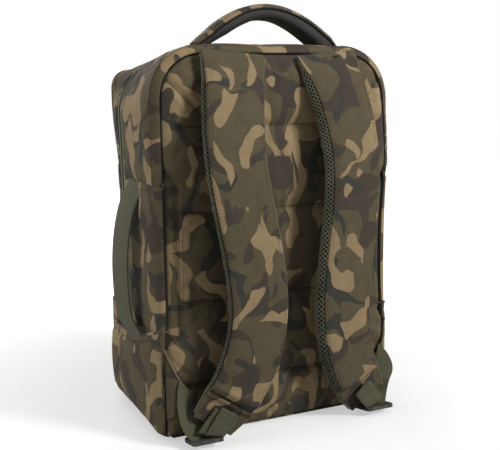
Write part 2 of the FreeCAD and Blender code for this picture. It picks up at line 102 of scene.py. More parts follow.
def resample(points, count):
    s = along(points)
    return read_at(points, s, np.linspace(0, s[-1], count))


def line_distance(points, line):
    """Distance of each point (..., 2) from a polyline."""
    p = points.reshape(-1, 1, 2)
    a, b = np.array(line[:-1], float), np.array(line[1:], float)
    d = b - a
    t = np.clip(((p - a) * d).sum(-1) / np.maximum((d * d).sum(-1), 1e-9), 0, 1)
    near = np.linalg.norm(p - a - t[..., None] * d, axis=-1).min(1)
    return near.reshape(points.shape[:-1])


def wobble(points, size, seed):
    """Smooth noise from -1 to 1 with features of that size."""
    flat = np.asarray(points, float).reshape(-1, 3) / size
    shift = np.array([seed * 7.31, seed * 3.17 + 11, seed * 5.77 - 4])
    values = [noise.noise(Vector(q)) for q in flat + shift]
    return np.array(values).reshape(points.shape[:-1])


def cubic_axis(grid):
    """Halves a grid's spacing along its first axis with Catmull-Rom curves."""
    n = len(grid)
    at = np.linspace(0, n - 1, (n - 1) * 2 + 1)
    i = np.minimum(at.astype(int), n - 2)
    t = (at - i).reshape((-1,) + (1,) * (grid.ndim - 1))
    ext = np.concatenate([2 * grid[:1] - grid[1:2], grid, 2 * grid[-1:] - grid[-2:-1]])
    a, b, c, d = ext[i], ext[i + 1], ext[i + 2], ext[i + 3]
    return 0.5 * (2 * b + (c - a) * t + (2 * a - 5 * b + 4 * c - d) * t**2 + (3 * b - a - 3 * c + d) * t**3)


def refine(grid):
    return cubic_axis(cubic_axis(grid).swapaxes(0, 1)).swapaxes(0, 1)


def grid_normals(grid, toward=None):
    """Outward normals: away from the bag's middle, or to the side of the given direction."""
    normals = unit(np.cross(np.gradient(grid, axis=0), np.gradient(grid, axis=1)))
    aim = grid - np.array([0, 10.0, 250.0]) if toward is None else np.array(toward, float)
    return normals * np.sign((normals * aim).sum())


# ------------------------------------------------------------------ meshes

def mesh_object(name, verts, faces, uv=None, materials=(), face_slots=None):
    """A smooth mesh in the row frame. verts are millimetres, uv metres of cloth."""
    mesh = bpy.data.meshes.new(name)
    mesh.from_pydata((np.asarray(verts) * MM).tolist(), [], faces)
    obj = bpy.data.objects.new(name, mesh)
    bpy.context.scene.collection.objects.link(obj)
    for m in materials:
        mesh.materials.append(m)
    if face_slots is not None:
        mesh.polygons.foreach_set("material_index", np.asarray(face_slots, np.int32))
    if uv is not None:
        layer = mesh.uv_layers.new(name="cloth")
        index = np.zeros(len(mesh.loops), np.int32)
        mesh.loops.foreach_get("vertex_index", index)
        layer.data.foreach_set("uv", np.asarray(uv, np.float32)[index].ravel())
    mesh.polygons.foreach_set("use_smooth", np.ones(len(mesh.polygons), bool))
    work = bmesh.new()
    work.from_mesh(mesh)
    bmesh.ops.recalc_face_normals(work, faces=work.faces)
    work.to_mesh(mesh)
    work.free()
    mesh.update()
    return obj


def quads(rows, cols, base=0, wrap=False):
    j = np.arange(cols if wrap else cols - 1)
    i = np.arange(rows - 1)[:, None]
    k = (j + 1) % cols
    corners = np.broadcast_arrays(i * cols + j, (i + 1) * cols + j, (i + 1) * cols + k, i * cols + k)
    return (np.stack(corners, -1).reshape(-1, 4) + base).tolist()


def tube_faces(rows, cols, closed=False):
    """Faces of a tube of rings, capped at both ends or closed on itself."""
    faces = quads(rows, cols, wrap=True)
    last = (rows - 1) * cols
    if closed:
        return faces + [[last + j, j, (j + 1) % cols, last + (j + 1) % cols] for j in range(cols)]
    return faces + [list(range(cols))[::-1], list(range(last, rows * cols))]


def panel_parts(grid, thick, toward=None):
    """Vertices and faces of a closed panel: the grid, the same grid set in, and the rim."""
    rows, cols = grid.shape[:2]
    off = rows * cols
    inner = grid - grid_normals(grid, toward) * thick
    verts = np.vstack([grid.reshape(-1, 3), inner.reshape(-1, 3)])
    index = np.arange(off).reshape(rows, cols)
    edge = np.concatenate([index[0], index[1:, -1], index[-1, -2::-1], index[-2:0:-1, 0]]).tolist()
    rim = [[a, b, b + off, a + off] for a, b in zip(edge, edge[1:] + edge[:1])]
    return verts, quads(rows, cols), [f[::-1] for f in quads(rows, cols, off)], rim


def two_sided(name, verts, front, back, rim, uv, outside=None, inside=None):
    """A cloth mesh with one material outside and another inside; uv is that of one side."""
    slots = [0] * len(front) + [1] * len(back) + [0] * len(rim)
    return mesh_object(name, verts, front + back + rim, np.vstack([uv, uv]),
                       [outside or CAMO, inside or LINING], slots)


def panel(name, grid, uv, thick=2.0, toward=None, outside=None, inside=None):
    return two_sided(name, *panel_parts(grid, thick, toward), uv.reshape(-1, 2), outside, inside)


def declare(piece, body, slot, *replaced):
    """Says which body a piece rides on, if any, and the CAD solids it stands for; the material slot is not
    used.
    """
    if body:
        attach(piece, body)
    if replaced:
        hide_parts(*replaced)
    return piece


def sewn_sheet(piece, grid):
    """Takes the steps between the grid's rows and columns and keeps nothing; the piece is not used."""
    down, over = np.diff(grid, axis=0), np.diff(grid, axis=1)


def loft(name, rings, material, uv_shift=(0, 0), closed=False):
    """A body through rings of points; u runs round a ring and back, so it has no jump."""
    n, m = rings.shape[:2]
    loop = np.concatenate([rings, rings[:, :1]], 1)
    round_it = np.cumsum(np.linalg.norm(np.diff(loop, axis=1), axis=2), 1)
    u = np.concatenate([np.zeros((n, 1)), round_it[:, :-1]], 1)
    u = np.minimum(u, round_it[:, -1:] - u)
    v = np.broadcast_to(along(rings.mean(1))[:, None], u.shape)
    uv = np.stack([u, v], -1).reshape(-1, 2) * MM + np.array(uv_shift)
    return mesh_object(name, rings.reshape(-1, 3), tube_faces(n, m, closed), uv, [material])


def framed(path, face):
    """Tangent, width and face directions along a path; face is the way that the flat side looks."""
    tangent = unit(np.gradient(path, axis=0))
    face = np.broadcast_to(np.asarray(face, float), path.shape)
    out = unit(face - (face * tangent).sum(1, keepdims=True) * tangent)
    return tangent, np.cross(tangent, out), out


def flat_section(width, depth, crown=0.0, radius=None, per_side=10):
    """A ring of (across, out) points: a rounded flat section whose outer side may be crowned."""
    radius = min(width, depth) / 2 if radius is None else radius
    half, top = width / 2 - radius, depth / 2 - radius
    ring = []
    for cx, cy, start in ((half, top, 0), (-half, top, 90), (-half, -top, 180), (half, -top, 270)):
        for a in np.linspace(start, start + 90, 5):
            ring.append((cx + radius * math.cos(math.radians(a)), cy + radius * math.sin(math.radians(a))))
        if start in (0, 180):
            sign = 1 if start == 0 else -1
            for x in np.linspace(half, -half, per_side + 2)[1:-1] * sign:
                ring.append((x, sign * (top + radius)))
    ring = np.array(ring)
    ring[:, 1] += np.where(ring[:, 1] > 0, crown * (1 - (2 * ring[:, 0] / width) ** 2), 0)
    return ring


def rings_along(path, section, across, out):
    """Rings on a path. section is one ring of (across, out) points, or one for each point."""
    section = np.asarray(section, float)
    return path[:, None] + section[..., :1] * across[:, None] + section[..., 1:] * out[:, None]


def swept(name, path, face, section, material, uv_shift=(0, 0)):
    _, across, out = framed(path, face)
    return loft(name, rings_along(path, section, across, out), material, uv_shift)


def cord_ring(radius, sides=8):
    a = np.linspace(0, 2 * math.pi, sides, endpoint=False)
    return np.stack([np.cos(a), np.sin(a)], 1) * radius


def joined(name, parts, material):
    """One object from several (verts, faces) parts."""
    verts, faces, base = [], [], 0
    for v, f in parts:
        verts.append(v)
        faces += [[i + base for i in face] for face in f]
        base += len(v)
    return mesh_object(name, np.vstack(verts), faces, None, [material])


def bead(stations, side, up, squash, sides):
    """Vertices and faces of a small closed body: flattened rings at (centre, radius) stations."""
    turns = [2 * math.pi * q / sides for q in range(sides)]
    verts = [mid + (side * math.cos(a) + up * math.sin(a) * squash) * r
             for mid, r in stations for a in turns]
    return np.array(verts), tube_faces(len(stations), sides)


STITCHES = {}


def stitch(body, line, normals, length=3.0, radius=0.5, lift=0.25):
    """A row of thread stitches on a surface, each a small spindle."""
    pitch = 4.4
    line = np.asarray(line, float)
    normals = np.broadcast_to(np.asarray(normals, float), line.shape)
    s = along(line)
    at = (np.arange(int(s[-1] / pitch)) + 0.5) * pitch
    if not len(at):
        return
    centre, up = read_at(line, s, at), unit(read_at(normals, s, at))
    ahead = unit(read_at(line, s, at + 1) - read_at(line, s, at - 1))
    side = unit(np.cross(ahead, up))
    for c, a, b, u in zip(centre + up * lift, ahead, side, up):
        spindle = ((-0.5, 0.35), (-0.3, 1.0), (0.3, 1.0), (0.5, 0.35))
        stations = [(c + a * k * length, r * radius) for k, r in spindle]
        STITCHES.setdefault(body, []).append(bead(stations, b, u, 0.8, 6))


# ------------------------------------------------------------------ cloth simulation

def puff(jobs):
    """Blows the padded panels up against their sewn lines.

    Each job is a dict with name, grid, pins (bool for each grid point), toward, cap and grow.
    The grid is simulated as the front of a closed pad whose back and pins don't move; the cap
    limits how far a point may go, in millimetres. The moved grid is put back in the job.
    """
    scene, frames = bpy.context.scene, 20
    made = []
    for job in jobs:
        grid = job["grid"]
        verts, front, back, rim = panel_parts(grid, 9.0, job["toward"])
        obj = mesh_object("pad_in_work", verts, front + back + rim)
        pins = np.concatenate([job["pins"].ravel(), np.ones(job["pins"].size, bool)])
        group = obj.vertex_groups.new(name="pins")
        group.add(np.nonzero(pins)[0].tolist(), 1.0, "ADD")
        mod = obj.modifiers.new("cloth", "CLOTH")
        cloth = mod.settings
        cloth.quality = 5
        cloth.mass = 0.15
        cloth.tension_stiffness = cloth.compression_stiffness = 12
        cloth.shear_stiffness = 4
        cloth.bending_stiffness = 0.4
        cloth.vertex_group_mass = "pins"
        cloth.use_pressure = True
        cloth.uniform_pressure_force = 4.0
        cloth.shrink_min = -job["grow"]
        cloth.effector_weights.gravity = 0
        mod.collision_settings.use_collision = False
        made.append(obj)
    scene.frame_start, scene.frame_end = 1, frames
    for f in range(1, frames + 1):
        scene.frame_set(f)
    depsgraph = bpy.context.evaluated_depsgraph_get()
    for job, obj in zip(jobs, made):
        result = obj.evaluated_get(depsgraph).data
        co = np.zeros(len(result.vertices) * 3)
        result.vertices.foreach_get("co", co)
        moved = co.reshape(-1, 3)[: job["grid"].size // 3].reshape(job["grid"].shape) / MM
        delta = moved - job["grid"]
        size = np.linalg.norm(delta, axis=-1, keepdims=True)
        job["moved"] = float(size.max())
        job["grid"] = job["grid"] + delta * job["cap"] * np.tanh(size / job["cap"]) / np.maximum(size, 1e-9)
        mesh = obj.data
        bpy.data.objects.remove(obj)
        bpy.data.meshes.remove(mesh)
    scene.frame_set(1)
    print("cloth moved by", {job["name"]: round(job["moved"], 2) for job in jobs})


# ------------------------------------------------------------------ materials

class Tree:
    """A small builder of node materials."""

    def __init__(self, name):
        self.material = bpy.data.materials.new(name)
        self.material.use_nodes = True
        self.tree = self.material.node_tree
        self.shader = next(n for n in self.tree.nodes if n.type == "BSDF_PRINCIPLED")

    def link(self, source, target):
        if isinstance(source, bpy.types.NodeSocket):
            self.tree.links.new(source, target)
        else:
            target.default_value = source

    def node(self, kind, inputs=None, **settings):
        made = self.tree.nodes.new("ShaderNode" + kind)
        for key, value in settings.items():
            setattr(made, key, value)
        for key, value in (inputs or {}).items():
            self.link(value, made.inputs[key])
        return made

    def math(self, operation, a, b=0.0, c=0.0):
        return self.node("Math", {0: a, 1: b, 2: c}, operation=operation).outputs[0]

    def vector(self, operation, a, b=(0, 0, 0), scale=None):
        made = self.node("VectorMath", {0: a, 1: b}, operation=operation)
        if scale is not None:
            self.link(scale, made.inputs["Scale"])
        return made.outputs[0]

    def uv(self):
        return self.node("UVMap", uv_map="cloth").outputs[0]

    def place(self):
        return self.node("TexCoord").outputs["Object"]

    def noise(self, at, scale, detail=2.0, rough=0.5, flat=False, out="Fac"):
        made = self.node("TexNoise", {"Vector": at, "Scale": scale, "Detail": detail, "Roughness": rough},
                         noise_dimensions="2D" if flat else "3D")
        return made.outputs[out]

    def ramp(self, value, low, high):
        made = self.node("MapRange", {"Value": value, "From Min": low, "From Max": high},
                         interpolation_type="SMOOTHSTEP")
        return made.outputs[0]

    def mix(self, factor, a, b):
        return self.node("Mix", {0: factor, 6: a, 7: b}, data_type="RGBA").outputs[2]

    def tint(self, colour, amount, share, over):
        """Lays a colour over another where amount is high, up to that share."""
        return self.mix(self.math("MULTIPLY", amount, share), colour, over)

    def split(self, vector):
        return tuple(self.node("SeparateXYZ", {0: vector}).outputs)

    def bump(self, height, distance, strength, normal=None):
        made = self.node("Bump", {"Height": height, "Distance": distance, "Strength": strength})
        if normal is not None:
            self.link(normal, made.inputs["Normal"])
        return made.outputs[0]

    def finish(self, colour, roughness, normal=None, **fixed):
        self.link(colour, self.shader.inputs["Base Color"])
        self.link(roughness, self.shader.inputs["Roughness"])
        if normal is not None:
            self.link(normal, self.shader.inputs["Normal"])
        for key, value in fixed.items():
            self.shader.inputs[key.replace("_", " ").title().replace("Ior", "IOR")].default_value = value
        return self.material


def srgb(r, g, b):
    lin = [(c / 255) / 12.92 if c <= 10 else ((c / 255 + 0.055) / 1.055) ** 2.4 for c in (r, g, b)]
    return (*lin, 1.0)


def threads(t, u, v, pitch):
    """Height, from 0 to 1, of threads that cross at that pitch, in metres."""
    a, b = (t.math("SINE", t.math("MULTIPLY", w, 2 * math.pi / pitch)) for w in (u, v))
    return t.math("MULTIPLY_ADD", t.math("MULTIPLY", a, b), 0.5, 0.5)


def camo_material(name, ripstop):
    """Printed woodland cloth: olive ground with brown, slate and tan shapes, and a fine weave."""
    t = Tree(name)
    soft = 0.005
    at = uv = t.uv()
    u, v, _ = t.split(uv)
    for shift, scale, detail, size in (((0, 0, 0), 14, 1.0, 0.05), ((3.1, 1.7, 0), 45, 0.0, 0.009)):
        swirl = t.noise(t.vector("ADD", uv, shift), scale, detail, flat=True, out="Color")
        swirl = t.vector("SUBTRACT", swirl, (0.5, 0.5, 0.5))
        at = t.vector("ADD", at, t.vector("SCALE", swirl, scale=size))

    def shape(shift, stretch, scale, edge):
        """Broad patches."""
        p = t.vector("MULTIPLY", t.vector("ADD", at, shift), stretch)
        return t.ramp(t.noise(p, scale, 0.4, 0.45, flat=True), edge - soft, edge + soft)

    def branch(shift, stretch, scale, width, gather, edge):
        """Winding shapes of nearly even width that swell and end where a second noise falls."""
        p = t.vector("MULTIPLY", t.vector("ADD", at, shift), stretch)
        ridge = t.math("ABSOLUTE", t.math("SUBTRACT", t.noise(p, scale, 0.0, flat=True), 0.5))
        where = t.noise(t.vector("ADD", p, (4.4, 8.8, 0)), gather, 0.0, flat=True)
        swell = t.math("MULTIPLY", t.math("SUBTRACT", where, edge), 0.55)
        reach = t.math("MINIMUM", swell, width)
        return t.ramp(t.math("SUBTRACT", reach, ridge), -soft, soft)

    brown = t.math("MAXIMUM", shape((1.3, 4.1, 0), (0.9, 1.15, 1), 21, 0.625),
                   branch((6.3, 2.2, 0), (1.0, 0.8, 1), 12, 0.060, 15, 0.485))
    slate = branch((7.7, 2.9, 0), (1.2, 0.85, 1), 13, 0.060, 17, 0.49)
    tan = t.math("MAXIMUM", shape((5.2, 9.4, 0), (1.3, 0.85, 1), 25, 0.665),
                 branch((2.6, 6.3, 0), (1.1, 0.75, 1), 13, 0.066, 19, 0.515))
    shade = t.noise(uv, 60, 2.0, flat=True)
    ground = t.mix(t.ramp(shade, 0.2, 0.8), srgb(90, 81, 60), srgb(98, 88, 66))
    colour = t.mix(brown, ground, srgb(72, 63, 55))
    colour = t.mix(slate, colour, srgb(60, 60, 55))
    pale = t.mix(t.ramp(shade, 0.25, 0.75), srgb(154, 132, 98), srgb(162, 140, 105))
    colour = t.mix(tan, colour, pale)
    weave = threads(t, u, v, 0.0011)
    grain = t.noise(uv, 900, 1.0, flat=True)
    colour = t.tint(colour, t.math("SUBTRACT", 1.0, weave), 0.16, srgb(38, 34, 25))
    colour = t.tint(colour, t.ramp(grain, 0.45, 0.8), 0.12, srgb(150, 140, 115))
    height = t.math("MULTIPLY_ADD", grain, 0.5, weave)
    if ripstop:
        waves = [t.math("PINGPONG", t.math("ADD", w, 5.0), 0.0016) for w in (u, v)]
        net = t.math("MAXIMUM", *[t.ramp(w, 0.00125, 0.0016) for w in waves])
        colour = t.tint(colour, net, 0.22, srgb(44, 40, 31))
        height = t.math("MULTIPLY_ADD", net, -1.2, height)
    worn = t.noise(t.place(), 45, 3.0)
    rough = t.math("MULTIPLY_ADD", worn, 0.18, 0.72)
    creases = t.noise(t.vector("MULTIPLY", uv, (1.0, 2.2, 1.0)), 42, 3.0, 0.6, flat=True)
    normal = t.bump(creases, 0.0016, 0.5)
    normal = t.bump(height, 0.00022, 0.6, normal)
    return t.finish(colour, rough, normal, sheen_weight=0.04, sheen_roughness=0.5, specular_ior_level=0.2)


def plain_cloth(name, dark, light, pitch, rough, sheen=0.1, wrinkle=0.0008, level=0.3):
    t = Tree(name)
    at = t.place()
    patch = t.noise(at, 26, 3.0)
    x, y, z = t.split(at)
    weave = threads(t, t.math("ADD", x, y), t.math("ADD", z, t.math("MULTIPLY", y, 0.5)), pitch)
    colour = t.mix(t.ramp(patch, 0.25, 0.75), dark, light)
    deep = (*(c * 0.45 for c in dark[:3]), 1)
    colour = t.tint(colour, t.math("SUBTRACT", 1.0, weave), 0.25, deep)
    normal = t.bump(weave, 0.0002, 0.6, t.bump(t.noise(at, 60, 3.0), wrinkle, 0.5))
    return t.finish(colour, t.math("MULTIPLY_ADD", patch, 0.15, rough), normal, sheen_weight=sheen,
                    specular_ior_level=level)


def webbing_material(name, dark, light, bone=0.0058, pitch=0.0032):
    """Woven tape: herringbone ribs across the width, a finer selvedge, dusty wear."""
    t = Tree(name)
    uv = t.uv()
    u, v, _ = t.split(uv)
    bend = t.math("PINGPONG", u, bone)
    slanted = t.math("ADD", v, t.math("MULTIPLY", bend, 1.1))
    rib = t.math("SINE", t.math("MULTIPLY", slanted, 2 * math.pi / pitch))
    fine = t.math("SINE", t.math("MULTIPLY", u, 2 * math.pi / 0.0011))
    height = t.math("MULTIPLY_ADD", fine, 0.22, t.math("MULTIPLY_ADD", rib, 0.5, 0.5))
    fuzz = t.noise(uv, 1400, 2.0, flat=True)
    dust = t.noise(t.place(), 38, 3.0)
    colour = t.mix(t.ramp(height, 0.0, 1.0), dark, light)
    colour = t.tint(colour, t.ramp(fuzz, 0.4, 0.75), 0.25, srgb(128, 126, 102))
    colour = t.tint(colour, t.ramp(dust, 0.5, 0.8), 0.2, srgb(70, 66, 48))
    normal = t.bump(t.math("MULTIPLY_ADD", fuzz, 0.3, height), 0.0005, 0.8)
    return t.finish(colour, t.math("MULTIPLY_ADD", dust, 0.12, 0.7), normal, sheen_weight=0.1,
                    specular_ior_level=0.3)


def mesh_material(name, dark, light):
    """Spacer mesh: small diamond holes in a knitted face."""
    t = Tree(name)
    uv = t.uv()
    u, v, _ = t.split(uv)
    p = t.math("PINGPONG", t.math("ADD", t.math("ADD", u, v), 5.0), 0.0017)
    q = t.math("PINGPONG", t.math("ADD", t.math("SUBTRACT", u, v), 5.0), 0.0017)
    hole = t.ramp(t.math("MINIMUM", p, q), 0.0006, 0.0013)
    soft = t.noise(uv, 240, 2.0, flat=True)
    colour = t.mix(hole, t.mix(t.ramp(soft, 0.3, 0.7), dark, light), srgb(16, 16, 13))
    normal = t.bump(t.math("SUBTRACT", 1.0, hole), 0.0011, 0.9)
    return t.finish(colour, t.math("MULTIPLY_ADD", soft, 0.1, 0.78), normal, sheen_weight=0.1,
                    specular_ior_level=0.28)


def moulded(name, dark, light, rough, metallic=0.0, grain=900, depth=0.00008):
    t = Tree(name)
    at = t.place()
    speck = t.noise(at, grain, 2.0)
    scuff = t.noise(at, 120, 4.0, 0.6)
    colour = t.mix(t.ramp(scuff, 0.35, 0.7), dark, light)
    normal = t.bump(t.math("MULTIPLY_ADD", scuff, 0.6, speck), depth, 0.7)
    rough = t.math("MULTIPLY_ADD", scuff, 0.2, rough)
    return t.finish(colour, rough, normal, metallic=metallic, specular_ior_level=0.5)


CAMO = camo_material("camo_cloth", False)
CAMO_STRAP = camo_material("camo_ripstop", True)
LINING = plain_cloth("lining_cloth", srgb(52, 49, 40), srgb(66, 62, 50), 0.0012, 0.72)
GRIP = plain_cloth("grip_cloth", srgb(29, 27, 23), srgb(46, 42, 36), 0.0009, 0.5, 0.05, 0.0012, 0.45)
WEBBING = webbing_material("olive_webbing", srgb(62, 62, 45), srgb(96, 95, 72))
CARRY_WEBBING = webbing_material("carry_webbing", srgb(64, 63, 46), srgb(108, 106, 81), 0.049, 0.0046)
EDGE_BINDING = webbing_material("pale_binding", srgb(92, 87, 64), srgb(132, 124, 94))
ZIP_TAPE = webbing_material("zip_tape", srgb(126, 133, 108), srgb(160, 164, 138), 0.02, 0.0016)
SPACER = mesh_material("spacer_mesh", srgb(14, 14, 11), srgb(22, 22, 18))
STRAND = plain_cloth("mesh_strand", srgb(90, 91, 72), srgb(120, 119, 97), 0.0008, 0.6)
THREAD = plain_cloth("thread", srgb(40, 36, 27), srgb(58, 52, 39), 0.0006, 0.6)
COIL = moulded("coil_plastic", srgb(24, 27, 22), srgb(38, 42, 34), 0.35)
PLASTIC = moulded("buckle_plastic", srgb(58, 55, 50), srgb(84, 81, 73), 0.38)
METAL = moulded("slider_metal", srgb(52, 51, 47), srgb(92, 90, 82), 0.32, 1.0, 1500, 0.00004)
TAB = moulded("tab_rubber", srgb(44, 43, 35), srgb(60, 58, 47), 0.6)
# near-black welt cloth: its colour is painted shade of the deep grooves the welts lie in
WELT_PAINTED_SHADE = plain_cloth("welt_cloth_painted_shade", srgb(17, 16, 12), srgb(28, 26, 20), 0.0010, 0.8)


# ------------------------------------------------------------------ the bag's outline

HALF, TOP, CORNER, POWER = 175.0, 512.0, 74.0, 2.2
REAR, REAR_ROLL = 125.0, 112.0
BODY_EDGE, ZIP_LINE, LID_EDGE, LID_SEAM = -11.5, -20.0, -29.0, -82.0
SEAM_HIGH, LID_LOW = 334.0, 152.0


def outline():
    """Points and outward normals from the right side's foot, over the top, to the left side's."""
    pitch = 5.0
    straight = np.arange(0.0, TOP - CORNER, pitch)
    angle = np.radians(np.linspace(0, 90, 26))
    arc_x = HALF - CORNER + CORNER * np.cos(angle) ** (2 / POWER)
    arc_z = TOP - CORNER + CORNER * np.sin(angle) ** (2 / POWER)
    across = np.linspace(HALF - CORNER, 0, int((HALF - CORNER) / pitch) + 2)[1:]
    x = np.concatenate([np.full(len(straight), HALF), arc_x, across])
    z = np.concatenate([straight, arc_z, np.full(len(across), TOP)])
    right = np.stack([x, z], 1)
    points = np.vstack([right, right[-2::-1] * [-1, 1]])
    points = resample(points, int(along(points)[-1] / pitch) + 1)
    t = unit(np.gradient(points, axis=0))
    return points, np.stack([t[:, 1], -t[:, 0]], 1)


def rear_inset(x, z):
    """How far the back seam lies inside the widest outline: more where the bag is waisted."""
    low = 4.5 + 5.0 * step01(80, 190, z)
    return np.where(x > 0, low, low + 1.5 * hump(z, 240, 90) - 6.5 * hump(z, 360, 72))


def roll(t):
    """The inset of a quarter circle, from 0 to 1."""
    t = np.clip(t, 0, 1)
    return 1 - np.sqrt(np.maximum(1 - t * t, 0))


def foot_inset(z, y):
    """The rounded edge between the side and the base, larger towards the front."""
    r = np.interp(y, [-95, 0, 60, 125], [24, 22, 14, 6])
    return r * roll((r - z) / r)


def rear_lift(y, z):
    """The base's rear corners are rounded, so the cloth ends a little higher there."""
    return 5.0 * step01(98, REAR, y) * step01(30, 0, z)


def zip_inset(x, z):
    """The zip runs lower than the back seam round the top corners, and in at the waist."""
    waist = 3.0 * hump(z, 320, 120) * step01(TOP - 20, TOP - 110, z)
    return waist + 12.0 * step01(425, 490, z) * step01(72, 118, np.abs(x))


def shell_inset(x, z, y):
    """Inset of the body's cloth from the outline at a place in its band."""
    slope = np.clip((REAR_ROLL - y) / (REAR_ROLL - ZIP_LINE), 0, 1)
    on_side = step01(TOP - 20, TOP - 110, z)
    back = rear_inset(x, z) * roll((y - REAR_ROLL) / (REAR - REAR_ROLL))
    zip_dip = 0.8 * np.exp(-np.maximum(y - BODY_EDGE, 0) / 4.5)
    sag = -1.4 * np.sin(np.clip((y + 15) / 140, 0, 1) * math.pi) * (1 - on_side)
    full = np.where(x < 0, 6.0 * hump(z, 366, 80), 0) * step01(REAR, 113, y) * step01(-15, 70, y)
    return back + zip_dip + slope * zip_inset(x, z) + sag - full


def over_outline(points, normals, ys, inset):
    """A grid over a part of the outline and the y values, set in by inset(x, z, y)."""
    x, y = np.meshgrid(points[:, 0], ys, indexing="ij")
    z = np.broadcast_to(points[:, 1:], x.shape)
    d = inset(x, z, y)
    return np.stack([x - normals[:, :1] * d, y, z - normals[:, 1:] * d], -1)


def push_out(grid, normals, push):
    """Moves a grid over the outline along the outline's normals."""
    grid[..., 0] += normals[:, :1] * push
    grid[..., 2] += normals[:, 1:] * push


def seam(grid, distance, deep=1.6, width=2.2, wide=0.7, reach=9.0, toward=None):
    """Presses a sewn line into a grid, with small puckers beside it."""
    normals = grid_normals(grid, toward)
    pucker = 0.35 * wobble(grid, 7.5, 41) * np.exp(-((distance - 4) / 6) ** 2)
    push = -deep * np.exp(-(distance / width) ** 2) - wide * np.exp(-(distance / reach) ** 2) + pucker
    return grid + normals * push[..., None]


def cloth_uv(u, v, turn, shift):
    c, s = math.cos(math.radians(turn)), math.sin(math.radians(turn))
    u, v = np.asarray(u) * MM, np.asarray(v) * MM
    return np.stack([c * u - s * v + shift[0], s * u + c * v + shift[1]], -1)


POINTS, NORMALS = outline()
ARC = along(POINTS)


def arc_part(z):
    """The outline's points, normals and lengths from that height on the right over to the left."""
    low = int(np.argmin(np.abs(POINTS[: (len(POINTS) - 1) // 2, 1] - z)))
    part = slice(low, len(POINTS) - low)
    return POINTS[part], NORMALS[part], ARC[part]


def arc_lengths(z, count):
    """Evenly spaced lengths over that part of the outline."""
    arc = arc_part(z)[2]
    return np.linspace(arc[0], arc[-1], count)


JOBS = {}


def job(name, grid, pins, toward=None, cap=5.0, grow=0.012):
    """Notes a grid for the cloth simulation, see puff."""
    JOBS[name] = {"name": name, "grid": grid, "pins": pins, "toward": toward, "cap": cap, "grow": grow}


def edge_pins(shape, rim=1):
    pins = np.zeros(shape[:2], bool)
    pins[:rim] = pins[-rim:] = True
    pins[:, :rim] = pins[:, -rim:] = True
    return pins


# ------------------------------------------------------------------ padded back

BACK_LOW, BACK_TOP, GROOVE = 5.0, 502.0, 2.2
FOLD_RIGHT = [(167, 358), (146, 337), (149, 147), (168, 129)]
FOLD_LEFT = [(-166, 338), (-152, 316), (-148, 232), (-146, 160), (-164, 133)]
MITRES = [[(160, 472), (114, 425)], [(-160, 470), (-118, 427)]]
QUILTS = [[(-146, 409), (146, 409)], [(-150, 300), (150, 300)], [(-148, 184), (148, 184)],
          [(-168, 74), (168, 74)]]


def back_half_width(z, inset=0.0):
    z = np.asarray(z, float)
    r = CORNER - 9.5 - inset
    t = np.clip((z - (TOP - CORNER)) / r, 0, 1)
    return HALF - CORNER + r * (1 - t**POWER) ** (1 / POWER)


def back_edge(x_sign, z, inset=0.0):
    side = HALF - rear_inset(np.asarray(x_sign * 100.0), z) - inset
    return np.minimum(side, back_half_width(z, inset) + np.where(z < TOP - CORNER, 50, 0))


def eased(count, power=1.35):
    """Values from -1 to 1, closer together at the ends."""
    t = np.linspace(-1, 1, count)
    return np.sign(t) * (1 - (1 - np.abs(t)) ** power)


def back_grid():
    """The padded back: one rounded panel, lower outside the fold lines."""
    top = BACK_TOP - GROOVE
    z = (BACK_LOW + top) / 2 + eased(92, 1.15) * (top - BACK_LOW) / 2
    zz, uu = np.meshgrid(z, eased(64, 1.2), indexing="ij")
    right, left = back_edge(1, z, GROOVE), back_edge(-1, z, GROOVE)
    x = np.where(uu > 0, uu * right[:, None], uu * left[:, None])
    flat = np.stack([x, zz], -1)
    rim = np.vstack([np.stack([right, z], 1), np.stack([-left, z], 1)[::-1], [[right[0], z[0]]]])
    from_rim = line_distance(flat, rim.tolist())
    from_rim[0] = from_rim[-1] = 0
    from_rim[:, 0] = from_rim[:, -1] = 0
    rise = 11.5 * (1 - np.exp(-from_rim / 7.0))
    strip = np.zeros_like(rise)
    for fold, side in ((FOLD_RIGHT, 1), (FOLD_LEFT, -1)):
        width, height = np.abs(fold[::-1]).T
        inner = np.interp(zz, height, width, left=200, right=200)
        strip = np.maximum(strip, step01(-1.0, 2.0, side * x - inner))
    return np.stack([x, 124.0 + rise - 3.4 * strip, zz], -1), flat


def seam_distances(flat):
    """Distances from the back's folds, mitres and quilting lines."""
    kinds = ((FOLD_RIGHT, FOLD_LEFT), MITRES, QUILTS)
    return [np.minimum.reduce([line_distance(flat, line) for line in lines]) for lines in kinds]


def start_back():
    grid, flat = back_grid()
    sewn = np.minimum.reduce(seam_distances(flat))
    grid[..., 1] -= 2.0 * np.exp(-(sewn / 6.0) ** 2)
    job("back", grid, edge_pins(sewn.shape, 2) | (sewn < 3.4), (0, 1, 0), cap=4.5, grow=0.016)


